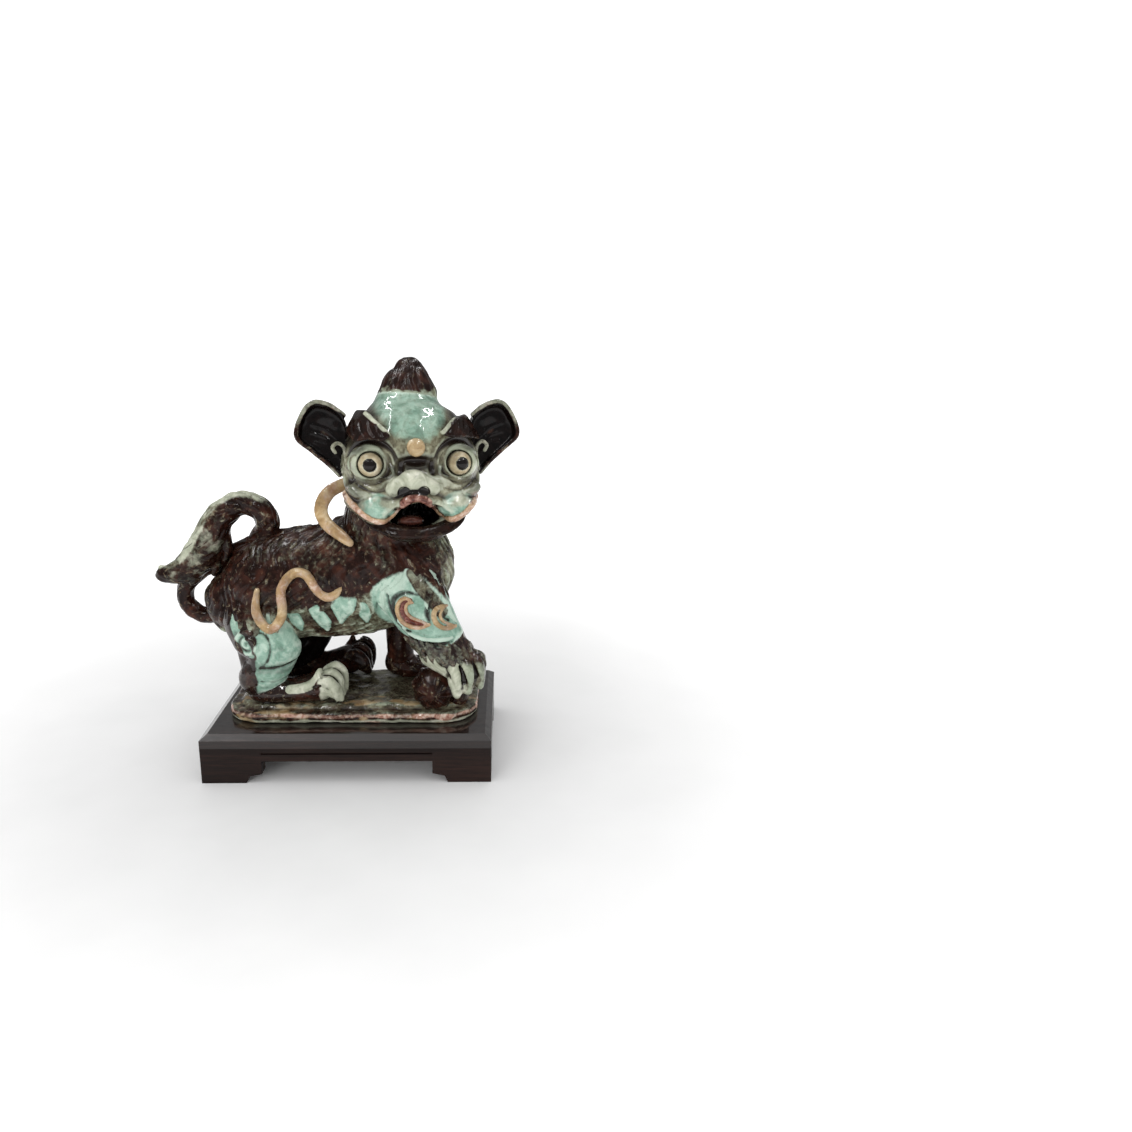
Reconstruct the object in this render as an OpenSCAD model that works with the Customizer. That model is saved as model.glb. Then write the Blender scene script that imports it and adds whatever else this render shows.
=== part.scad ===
// Glazed ceramic foo dog with one paw on a ball, standing loose on a joined wooden stand.
// The dog walks towards +X and turns its head to look towards -Y.
// The origin is under the middle of the whole object, at the height of the stand's feet.

/* [Stand] */
// Width of the wooden stand
stand_w = 175; // [165:1:190]
// Depth of the wooden stand
stand_d = 108.5; // [100:0.5:120]
// Height of the wooden stand
stand_h = 31; // [28:0.5:36]
// Thickness of the top board
board_t = 8; // [6:0.5:10]
// How far the bevel round the board's upper edge runs in
bevel_in = 4; // [2:0.5:6]
// How far that bevel drops
bevel_drop = 3; // [1:0.5:4]
// Thickness of the four aprons under the board
apron_t = 9; // [6:0.5:12]
// Height of the open gap under the middle of an apron
apron_gap = 14.5; // [10:0.5:16]
// Length of one bracket foot on the floor, along the front
foot_w = 26.5; // [20:0.5:30]
// The same along the sides
side_foot_w = 22; // [16:0.5:26]
// Height of the narrow groove run along each apron
groove_h = 1.2; // [0.8:0.1:2]
// How far above the gap that groove runs
groove_rise = 4.5; // [3:0.5:6]

/* [Plinth] */
// Length of the ceramic plinth under the paws
plinth_w = 156; // [150:1:160]
// Depth of the ceramic plinth
plinth_d = 74; // [70:1:80]
// Thickness of the ceramic plinth
plinth_t = 7; // [6:0.5:9]
// Corner radius of the ceramic plinth
plinth_r = 22; // [15:1:28]
// Height of the raised ground on top of it
mound_t = 3; // [1:0.5:4]
// How far that ground stays in from the plinth's edge
mound_inset = 7; // [4:1:10]

/* [Figure] */
// Wall of the pressed clay shells
wall = 6; // [4:0.5:8]
// Turn of the head from -Y towards +X
head_turn = 12; // [0:1:20]
// Upward tilt of the head
head_tilt = 8; // [0:1:12]
// Radius of the ball under the right forepaw
ball_r = 13.5; // [11:0.5:15]
// Thickness of an ear's clay leaf
ear_t = 11; // [8:0.5:12]
// How deep the hollow in an ear's front goes
ear_dish = 5.5; // [3:0.5:6]
// Width of an ear's rim round that hollow
ear_rim = 2.5; // [2:0.5:4]
// Radius of an eyeball
eye_r = 8; // [7:0.5:9]
// Radius of the bead on the forehead
bead_r = 6; // [4:0.5:7]
// Radius of the wavy ribbon along each flank
ribbon_r = 3.2; // [2.5:0.1:4]
// Radius of the rolled scrolls on the raised foreleg
scroll_r = 2.8; // [2:0.1:3.5]

/* [Hidden] */

// The tail reaches further left than the ear reaches right, so the stand is off the middle.
stand_offset = 10.2;
plinth_z = stand_h;
// Where the two torso halves meet.
seam_y = 0;
// The middle of the head at eye level, and where its face and back halves meet.
head_at = [38, -14, 193];
head_split = 4;
// How far behind the middle of the head the back of an ear lies.
ear_back = 9;
// The step from an apron's gap down to a bracket foot, and how its toe runs out.
foot_step_w = 9.5;
foot_step_h = 6;
foot_toe = 2;
// Larger than the whole object, for cutting it in half.
big = 400;
wood = "#2a1d1a";
aqua = "#7fbfae";
brown = "#35211d";
cream = "#dfcb9c";
pale = "#b9c2b2";
rust = "#8a5a4a";

// ---- Swept clay: stations are [x, y, z, half-width along side, half-width across it] ----

function unit(v) = v / norm(v);
function place(s) = [s[0], s[1], s[2]];

// A smooth curve through four stations, between the second and the third.
function between(a, b, c, d, t) =
    0.5 * (2 * b + (c - a) * t + (2 * a - 5 * b + 4 * c - d) * t * t
        + (3 * b - a - 3 * c + d) * t * t * t);

function smooth(list, steps) =
    let (last = len(list) - 1)
    [
        for (i = [0 : last - 1]) for (k = [0 : steps - 1])
            between(list[max(i - 1, 0)], list[i], list[i + 1], list[min(i + 2, last)], k / steps),
        list[last],
    ];

function along(list, i) =
    unit(place(list[min(i + 1, len(list) - 1)]) - place(list[max(i - 1, 0)]));

// Domed end: the end station shrinks in steps while it moves on by part of its own radius.
function dome(s, heading, angles) =
    [for (a = angles) let (p = place(s) + heading * min(s[3], s[4]) * sin(a))
        [p[0], p[1], p[2], s[3] * cos(a), s[4] * cos(a)]];

function ring(s, heading, side, sides) =
    let (v = unit(side - (side * heading) * heading))
    let (u = cross(heading, v))
    [for (k = [0 : sides - 1]) let (a = 360 * k / sides)
        place(s) + v * s[3] * cos(a) + u * s[4] * sin(a)];

// A tube of changing oval section through the stations, with domed ends.
module sweep(stations, side = [0, 1, 0], sides = 14, steps = 3) {
    body = smooth(stations, steps);
    last = len(body) - 1;
    head_on = along(body, 0);
    tail_on = along(body, last);
    rings = concat(
        [for (s = dome(body[0], -head_on, [72, 48, 24])) ring(s, head_on, side, sides)],
        [for (i = [0 : last]) ring(body[i], along(body, i), side, sides)],
        [for (s = dome(body[last], tail_on, [24, 48, 72])) ring(s, tail_on, side, sides)]
    );
    n = len(rings);
    points = [for (r = rings) each r];
    walls = [
        for (i = [0 : n - 2]) for (k = [0 : sides - 1]) let (m = (k + 1) % sides)
            each [
                [i * sides + k, (i + 1) * sides + m, i * sides + m],
                [i * sides + k, (i + 1) * sides + k, (i + 1) * sides + m],
            ],
    ];
    first_end = [for (k = [0 : sides - 1]) k];
    last_end = [for (k = [sides - 1 : -1 : 0]) (n - 1) * sides + k];
    polyhedron(points, concat([first_end], walls, [last_end]));
}

// The same stations with a wall's thickness taken off, for the hollow inside a shell.
function thinner(stations, by) =
    [for (s = stations) [s[0], s[1], s[2], max(s[3] - by, 2), max(s[4] - by, 2)]];

// A flat stations list turned to the dog's other side.
function mirrored(stations) =
    [for (s = stations) [s[0], 2 * seam_y - s[1], s[2], s[3], s[4]]];

// A clay piece is freeform. resize with no new size leaves it as it is, as one mesh.
module clay(tint) {
    color(tint) resize([0, 0, 0]) translate([stand_offset, 0, 0]) children();
}

module half(towards) {
    intersection() {
        children();
        translate([-big / 2, towards > 0 ? seam_y : seam_y - big, 0]) cube(big);
    }
}

// ---- Wooden stand ----

module bevelled_profile(w) {
    polygon([
        [-w / 2, 0], [w / 2, 0], [w / 2, board_t - bevel_drop], [w / 2 - bevel_in, board_t],
        [-w / 2 + bevel_in, board_t], [-w / 2, board_t - bevel_drop],
    ]);
}

module stand_board() {
    color(wood) translate([stand_offset, 0, stand_h - board_t]) intersection() {
        rotate([90, 0, 0]) linear_extrude(stand_d, center = true) bevelled_profile(stand_w);
        rotate([90, 0, 90]) linear_extrude(stand_w, center = true) bevelled_profile(stand_d);
    }
}

// The face of an apron: a rail whose ends step down into bracket feet.
module apron_face(w, foot) {
    top = stand_h - board_t;
    inner = w / 2 - foot;
    right_edge = [
        [inner - foot_step_w, apron_gap], [inner - foot_step_w, foot_step_h],
        [inner - foot_toe, foot_step_h - 1.5], [inner, 0], [w / 2, 0], [w / 2, top],
    ];
    left_edge = [for (i = [len(right_edge) - 1 : -1 : 0]) [-right_edge[i][0], right_edge[i][1]]];
    polygon(concat(right_edge, left_edge));
}

// An apron along the X axis with mitred ends and its outer face towards -Y.
module apron(w, d, foot) {
    difference() {
        intersection() {
            translate([0, -d / 2 + apron_t, 0]) rotate([90, 0, 0])
                linear_extrude(apron_t) apron_face(w, foot);
            linear_extrude(stand_h) polygon([
                [-w / 2, -d / 2], [w / 2, -d / 2],
                [w / 2 - apron_t, -d / 2 + apron_t], [-w / 2 + apron_t, -d / 2 + apron_t],
            ]);
        }
        groove_w = w - 2 * (foot + foot_step_w);
        translate([-groove_w / 2, -d / 2 - 1, apron_gap + groove_rise]) cube([groove_w, 2, groove_h]);
    }
}

module front_apron() {
    color(wood) translate([stand_offset, 0, 0]) apron(stand_w, stand_d, foot_w);
}

module back_apron() {
    color(wood) translate([stand_offset, 0, 0]) rotate(180) apron(stand_w, stand_d, foot_w);
}

module left_apron() {
    color(wood) translate([stand_offset, 0, 0]) rotate(-90) apron(stand_d, stand_w, side_foot_w);
}

module right_apron() {
    color(wood) translate([stand_offset, 0, 0]) rotate(90) apron(stand_d, stand_w, side_foot_w);
}

// ---- Plinth, rock and ball ----

module rounded(w, d, r) {
    square([w - 2 * r, d], center = true);
    square([w, d - 2 * r], center = true);
    for (x = [-1, 1]) for (y = [-1, 1])
        translate([x * (w / 2 - r), y * (d / 2 - r)]) circle(r, $fn = 64);
}

module plinth_form() {
    translate([0, 0, plinth_z]) {
        linear_extrude(plinth_t) rounded(plinth_w, plinth_d, plinth_r);
        linear_extrude(plinth_t + mound_t)
            rounded(plinth_w - 2 * mound_inset, plinth_d - 2 * mound_inset, plinth_r - mound_inset);
    }
}

module plinth() {
    color(rust) translate([stand_offset, 0, 0]) plinth_form();
}

// Clay pressed down on the plinth: the part of a piece that would be inside or under it is gone.
module on_plinth() {
    difference() {
        children();
        plinth_form();
        translate([-big / 2, -big / 2, plinth_z + plinth_t - big]) cube(big);
    }
}

ball_at = [51, -26, 51];

module ball_form() {
    translate(ball_at) sphere(ball_r, $fn = 28);
}

module rock_form() {
    sweep([[63, -18, 41, 10, 9], [65, -21, 46, 9, 8], [66, -24, 51, 6, 6]], sides = 12, steps = 2);
}

module rock() {
    clay(brown) on_plinth() difference() {
        rock_form();
        ball_form();
    }
}

module ball() {
    clay(brown) on_plinth() ball_form();
}

// ---- Torso: hips, barrel and chest in one line, and the neck rising from the chest ----

torso_line = [
    [-74, 2, 98, 19, 22], [-58, 2, 104, 27, 33], [-35, 1, 111, 27, 35],
    [-10, 0, 114, 27, 37], [12, -1, 120, 29, 39], [31, -3, 129, 30, 36],
];
neck_line = [[20, -1, 138, 26, 28], [27, -3, 156, 28, 30], [34, -5, 174, 26, 28]];

module torso_form() {
    sweep(torso_line, sides = 22);
    sweep(neck_line, sides = 18);
}

module torso_hollow() {
    sweep(thinner(torso_line, wall), sides = 14, steps = 1);
    sweep(thinner(neck_line, wall), sides = 12, steps = 1);
}

module torso_half(towards) {
    clay(brown) half(towards) difference() {
        torso_form();
        torso_hollow();
        on_head() head_form();
        tail_form();
    }
}

module torso_right_half() { torso_half(-1); }
module torso_left_half() { torso_half(1); }

// ---- Head, in its own frame: +X to the dog's left, -Y out of the face, +Z up ----

module on_head() {
    translate(head_at) rotate([-head_tilt, 0, head_turn]) children();
}

skull_line = [
    [0, 8, -33, 25, 20], [0, 3, -20, 36, 27], [0, 1, -6, 41, 30], [0, 1, 8, 39, 30],
    [0, 2, 21, 32, 27], [0, 4, 31, 23, 20], [1, 5, 38, 14, 12],
];
muzzle_line = [[-28, -16, -17, 9, 9], [-14, -21, -16, 11, 11], [0, -23, -13, 11, 10],
    [14, -21, -16, 11, 11], [28, -16, -17, 9, 9]];
lip_line = [[-36, -9, -22, 5, 5], [-29, -18, -27, 6, 6], [-21, -24, -30, 7, 6], [-9, -28, -23, 6, 4.5],
    [0, -29, -19, 5, 4], [9, -28, -23, 6, 4.5], [20, -24, -30, 7, 6], [29, -15, -25, 5, 5]];
mouth_line = [[0, -38, -31, 18, 8], [0, -20, -32, 21, 9], [0, 0, -28, 16, 8]];

module head_form() {
    sweep(skull_line, side = [1, 0, 0], sides = 22, steps = 2);
    sweep(muzzle_line, side = [0, 1, 0], sides = 10, steps = 1);
    sweep(lip_line, side = [0, 1, 0], sides = 8, steps = 2);
}

module head_hollow() {
    sweep(thinner(skull_line, wall), side = [1, 0, 0], sides = 14, steps = 1);
}

module eye_form(side) {
    translate([side * 25, -21, -1]) sphere(eye_r, $fn = 20);
}

module jaw_form() {
    sweep([[-27, -9, -30, 3.5, 3.5], [-22, -19, -36, 4, 4], [-10, -26, -40, 4, 4], [0, -28, -41, 4, 4],
        [10, -26, -40, 4, 4], [21, -19, -36, 4, 4], [26, -9, -30, 3.5, 3.5]], side = [0, 0, 1], sides = 8,
        steps = 2);
    sweep([[0, 2, -40, 18, 4], [0, -12, -42, 20, 4], [0, -22, -43, 16, 4]], side = [1, 0, 0], sides = 12,
        steps = 2);
}

module head_shell() {
    difference() {
        head_form();
        head_hollow();
        sweep(mouth_line, side = [1, 0, 0], sides = 16);
        jaw_form();
        for (side = [-1, 1]) eye_form(side);
    }
}

module head_face() {
    clay(aqua) on_head() intersection() {
        head_shell();
        translate([-big / 2, head_split - big, -big / 2]) cube(big);
    }
}

module head_back() {
    clay(brown) on_head() intersection() {
        head_shell();
        translate([-big / 2, head_split, -big / 2]) cube(big);
    }
}

module lower_jaw() {
    clay(brown) difference() {
        on_head() jaw_form();
        torso_form();
    }
}

module tongue_form() {
    sweep([[-2, -4, -36, 8, 3.5], [-3, -15, -35, 8.5, 4], [-3, -23, -34, 7, 3]],
        side = [1, 0, 0], sides = 12, steps = 2);
}

module tongue() {
    clay(rust) difference() {
        on_head() difference() {
            tongue_form();
            jaw_form();
            head_form_without_mouth();
        }
        torso_form();
    }
}

module head_form_without_mouth() {
    difference() {
        head_form();
        sweep(mouth_line, side = [1, 0, 0], sides = 16);
    }
}

module nose() {
    clay(pale) on_head() difference() {
        sweep([[-12, -29, -13, 4.5, 4.5], [-7, -31, -9, 5.5, 5.5], [0, -31.5, -8, 6, 6],
            [7, -31, -9, 5.5, 5.5], [12, -29, -13, 4.5, 4.5]], side = [0, 1, 0], sides = 12, steps = 2);
        head_form();
    }
}

module eye(side) {
    clay(cream) on_head() eye_form(side);
}

module right_eye() { eye(-1); }
module left_eye() { eye(1); }

module brow(side) {
    clay(brown) on_head() difference() {
        sweep([[side * 15, -28, 12, 4, 3], [side * 22, -27, 17, 5, 6], [side * 30, -23, 20, 5, 8],
            [side * 36, -16, 23, 4, 8], [side * 39, -11, 25, 3, 5]], side = [0, 1, 0], sides = 12, steps = 2);
        head_form();
        for (s = [-1, 1]) eye_form(s);
        ear_form(side);
    }
}

module right_brow() { brow(-1); }
module left_brow() { brow(1); }

module forehead_bead() {
    clay(cream) on_head() difference() {
        translate([0, -27, 8]) sphere(bead_r, $fn = 24);
        head_form();
    }
}

module crest_knob() {
    clay(brown) on_head() difference() {
        sweep([[0, 5, 39, 16, 14], [0, 4, 45, 14.5, 13], [1, 3, 51, 11, 10], [1, 3, 54, 8, 7]],
            side = [1, 0, 0], sides = 16);
        head_form();
    }
}

// An ear is a broad leaf with a hollow pressed into its front.
function ear_outline(side, inset) =
    [for (p = smooth([
        [36, -4], [35, 12], [38, 26], [46, 32], [55, 34], [61, 28], [65, 15], [57, 7], [48, -1], [41, -8], [36, -4],
    ], 2)) let (m = [50, 14]) let (q = m + (p - m) * (1 - inset / 22)) [side * q[0], q[1]]];

module ear_form(side) {
    translate([0, ear_back, 0]) rotate([90, 0, 0]) linear_extrude(ear_t) polygon(ear_outline(side, 0));
}

module ear(side) {
    clay(brown) on_head() difference() {
        ear_form(side);
        translate([0, ear_back - ear_t + ear_dish, 0]) rotate([90, 0, 0])
            linear_extrude(ear_t) polygon(ear_outline(side, ear_rim));
        head_form();
    }
}

module right_ear() { ear(-1); }
module left_ear() { ear(1); }

// ---- Ribbons and scroll: cream-glazed rolled clay laid on the body ----

module right_neck_ribbon() {
    clay(cream) difference() {
        sweep([[8, -2, 178, 2.2, 4], [-4, -6, 176, 2.2, 4.3], [-13, -10, 171, 2.2, 4.5],
            [-17, -13, 162, 2.2, 4.6], [-13, -17, 154, 2.2, 4.5], [-4, -24, 149, 2.2, 4.2],
            [3, -29, 145, 2, 2.6]], sides = 10);
        torso_form();
        on_head() head_form();
        on_head() ear_form(-1);
    }
}

module left_neck_ribbon() {
    clay(cream) difference() {
        sweep([[44, 14, 178, 2.2, 4], [57, 16, 172, 2.2, 4.6], [62, 17, 162, 2.2, 4.8],
            [56, 18, 152, 2.2, 4.6], [44, 20, 146, 2.2, 4], [34, 24, 143, 2, 2.6]], sides = 10);
        torso_form();
        on_head() head_form();
        on_head() ear_form(1);
    }
}

side_ribbon_line = [
    [-54, -28, 115], [-55, -30, 101], [-46, -35, 92], [-39, -32, 101], [-40, -28, 115],
    [-33, -27, 125], [-25, -27, 125], [-18, -27, 114], [-10, -28, 111], [-2, -27, 119],
];

function roped(list, r) =
    [for (i = [0 : len(list) - 1])
        let (taper = i == 0 || i == len(list) - 1 ? 0.6 : 1)
        [list[i][0], list[i][1], list[i][2], r * taper, r * taper]];

module right_side_ribbon() {
    clay(cream) difference() {
        sweep(roped(side_ribbon_line, ribbon_r), sides = 8);
        torso_form();
        hind_leg_form(-1);
    }
}

module left_side_ribbon() {
    clay(cream) difference() {
        sweep(mirrored(roped(side_ribbon_line, ribbon_r)), sides = 8);
        torso_form();
        hind_leg_form(1);
    }
}

// A crescent, and an open curl that its lower end runs into.
crescent_line = [
    [41, -38, 117], [34.5, -38.2, 113], [31.5, -37.4, 107], [33.5, -38.4, 100.5], [39.5, -40, 97],
    [47, -41.2, 97], [53, -40.8, 100],
];
curl_line = [
    [56, -35.6, 114], [51.5, -38.6, 109], [51.5, -40.4, 102.5], [57, -40.2, 97.5], [64, -37.6, 98],
];

module right_shoulder_scroll() {
    clay(cream) difference() {
        union() {
            sweep(roped(crescent_line, scroll_r), sides = 8, steps = 2);
            sweep(roped(curl_line, scroll_r), sides = 8, steps = 2);
        }
        right_foreleg_form();
        torso_form();
    }
}

// ---- Legs and paws ----

module right_foreleg_form() {
    sweep([[29, -18, 129, 14, 19], [38, -24, 112, 15, 20], [47, -26, 97, 15, 18], [54, -28, 86, 13, 16]],
        sides = 16, steps = 2);
}

module right_foreleg() {
    clay(aqua) difference() {
        right_foreleg_form();
        torso_form();
    }
}

// Toes are short sweeps side by side, each ending in a claw.
module right_forepaw_form() {
    sweep([[56, -28, 80, 12, 17], [63, -30, 73, 12, 14], [69, -30, 66, 11, 11]], sides = 14, steps = 2);
    for (toe = [[65, -39, 64], [72, -38, 66], [79, -34, 68]])
        sweep([[toe[0], toe[1] + 6, toe[2] + 4, 5, 5], [toe[0], toe[1], toe[2] - 4, 5, 5],
            [toe[0] + 1, toe[1] - 1, toe[2] - 12, 3, 3]], sides = 8, steps = 1);
}

module right_forepaw() {
    clay(pale) difference() {
        right_forepaw_form();
        right_foreleg_form();
        torso_form();
        ball_form();
        rock_form();
    }
}

module left_foreleg_form() {
    sweep([[20, 15, 120, 14, 18], [23, 17, 98, 11, 12], [25, 18, 76, 9, 9.5], [25, 19, 56, 9, 9]],
        sides = 14, steps = 2);
}

module left_foreleg() {
    clay(brown) on_plinth() difference() {
        left_foreleg_form();
        torso_form();
    }
}

module left_forepaw() {
    clay(brown) on_plinth() difference() {
        union() {
            sweep([[23, 20, 50, 10, 9], [31, 19, 47, 11, 8]], sides = 12, steps = 1);
            for (y = [12, 19, 26]) sweep([[34, y, 48, 4, 5], [42, y, 44, 3.5, 4]], sides = 8, steps = 1);
        }
        left_foreleg_form();
        ball_form();
    }
}

// Thigh, shank and hock of a hind leg; side is -1 for the dog's right.
module hind_leg_form(side) {
    knee_x = side < 0 ? -44 : -30;
    sweep([[-62, side * 13, 98, 13, 20], [-55, side * 20, 85, 13, 20], [knee_x, side * 23, 74, 12, 15]],
        sides = 16, steps = 2);
    sweep([[knee_x - 2, side * 23, 72, 11, 13], [knee_x - 8, side * 22, 62, 11, 13],
        [knee_x - 16, side * 21, 54, 10, 12]], sides = 14, steps = 2);
    sweep([[-59, side * 18, 52, 8, 7], [-63, side * 16, 62, 7, 7.5], [-65, side * 14, 78, 7, 9]],
        sides = 12, steps = 2);
}

module hind_leg(side, tint) {
    clay(tint) on_plinth() difference() {
        hind_leg_form(side);
        torso_form();
        tail_form();
    }
}

module right_hind_leg() { hind_leg(-1, aqua); }
module left_hind_leg() { hind_leg(1, brown); }

// A hind paw lies along the plinth, heel to toes.
module hind_paw(side, toe_x, tint) {
    clay(tint) on_plinth() difference() {
        union() {
            sweep([[toe_x - 46, side * 21, 46, 9, 7], [toe_x - 26, side * 22, 47, 9, 8],
                [toe_x - 8, side * 22, 51, 11, 10]], sides = 12, steps = 2);
            for (across = [-7, 0, 7])
                sweep([[toe_x - 6, side * 22 + across, 55, 4.5, 6], [toe_x + 2, side * 22 + across, 50, 4.5, 6],
                    [toe_x + 5, side * 22 + across, 45, 3, 3]], sides = 8, steps = 1);
        }
        hind_leg_form(side);
    }
}

module right_hind_paw() { hind_paw(-1, -12, pale); }
module left_hind_paw() { hind_paw(1, -1, brown); }

// ---- Tail: a stem that loops up from the rump and a plume that curls over and down ----

module tail_form() {
    sweep([[-76, 4, 98, 6, 6], [-86, 6, 90, 5.5, 5.5], [-98, 7, 87, 5, 5], [-108, 8, 94, 5, 5],
        [-108, 8, 106, 5, 5], [-97, 8, 118, 5.5, 6], [-80, 7, 126, 6, 6], [-64, 6, 134, 6, 6]],
        sides = 12, steps = 3);
}

module tail_plume_form() {
    sweep([[-64, 6, 134, 6, 6], [-54, 5, 145, 6.5, 6], [-56, 4, 157, 7, 6], [-68, 3, 162, 7, 6.5],
        [-80, 1, 155, 8, 7.5], [-87, 0, 143, 9, 8.5], [-95, 0, 129, 9, 9.5], [-106, 0, 119, 7, 7.5],
        [-118, 0, 116, 4, 4]], sides = 12, steps = 3);
}

module tail_stem() {
    clay(brown) tail_form();
}

module tail_plume() {
    clay(brown) difference() {
        tail_plume_form();
        tail_form();
        torso_form();
    }
}

stand_board();
front_apron();
back_apron();
left_apron();
right_apron();
plinth();
rock();
ball();
torso_right_half();
torso_left_half();
head_face();
head_back();
lower_jaw();
tongue();
nose();
right_eye();
left_eye();
right_brow();
left_brow();
forehead_bead();
crest_knob();
right_ear();
left_ear();
right_neck_ribbon();
left_neck_ribbon();
right_side_ribbon();
left_side_ribbon();
right_shoulder_scroll();
right_foreleg();
right_forepaw();
left_foreleg();
left_forepaw();
right_hind_leg();
right_hind_paw();
left_hind_leg();
left_hind_paw();
tail_stem();
tail_plume();
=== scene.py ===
"""A glazed ceramic foo dog on a joined wooden stand.

The CAD nodes' own meshes are turned into signed distances on blocks of voxels, softened, luted
together, given locks, folds and curls, and meshed again, one piece per clay part.
Sizes in the sculpting code are in millimetres, and the axes are the CAD's.
"""
import math

import bpy
import numpy as np
import openvdb
from mathutils import Matrix, Vector


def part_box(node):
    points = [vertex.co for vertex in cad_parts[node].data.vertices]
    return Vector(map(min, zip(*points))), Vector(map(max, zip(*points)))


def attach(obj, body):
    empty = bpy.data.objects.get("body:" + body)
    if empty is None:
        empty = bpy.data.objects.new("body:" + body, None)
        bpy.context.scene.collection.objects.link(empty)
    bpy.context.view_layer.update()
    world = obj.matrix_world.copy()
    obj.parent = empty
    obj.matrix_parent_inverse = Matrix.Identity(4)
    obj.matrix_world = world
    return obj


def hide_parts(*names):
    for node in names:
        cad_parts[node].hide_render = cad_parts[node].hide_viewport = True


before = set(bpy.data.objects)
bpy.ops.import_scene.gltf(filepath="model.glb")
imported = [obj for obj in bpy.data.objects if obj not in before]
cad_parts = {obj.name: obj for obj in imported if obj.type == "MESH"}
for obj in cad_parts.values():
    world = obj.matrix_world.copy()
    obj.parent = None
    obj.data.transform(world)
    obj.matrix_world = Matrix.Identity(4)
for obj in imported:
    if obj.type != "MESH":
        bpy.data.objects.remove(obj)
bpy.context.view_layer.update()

MM = 0.001
BODY_VOXEL = 0.9
HEAD_VOXEL = 0.72
RIBBON_VOXEL = 0.7
BALL_VOXEL = 0.75
PLINTH_VOXEL = 0.85
BAND = 10  # voxels of true distance kept on each side of a surface
LUTE = 3.0  # how far two luted clay pieces run into one another
EASED_EDGE = 0.7
TURN = math.radians(12)  # the head's turn from -Y towards +X
TILT = math.radians(8)  # the head's upward tilt


# ---- Frames and blocks of voxels ----

HALVES = {"torso": ("torso_right_half", "torso_left_half"), "head": ("head_face", "head_back")}


def nodes_of(name):
    """The CAD nodes that a piece stands for: its two halves, or the node of its own name."""
    return HALVES.get(name, (name,))


class Place:
    """A frame: local millimetres to the row frame's metres and back."""

    def __init__(self, origin, turn):
        self.origin = np.array(origin, float)
        self.turn = np.array(turn, float)

    def local(self, points):
        return (points / MM - self.origin) @ self.turn

    def world(self, points):
        return (points @ self.turn.T + self.origin) * MM


def middle(node):
    lo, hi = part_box(node)
    return (np.array(lo) + np.array(hi)) / 2 / MM


def head_place():
    """The head's frame: +X to the dog's left, -Y out of the face, +Z up, the eyes at (+-25, -21, -1)."""
    turn = Matrix.Rotation(TURN, 3, "Z") @ Matrix.Rotation(-TILT, 3, "X")
    turn = np.array(turn)
    eyes = (middle("right_eye") + middle("left_eye")) / 2
    return Place(eyes - turn @ np.array([0, -21, -1]), turn)


BODY = Place([middle("stand_board")[0], 0, 0], np.eye(3))
HEAD = head_place()


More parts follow.
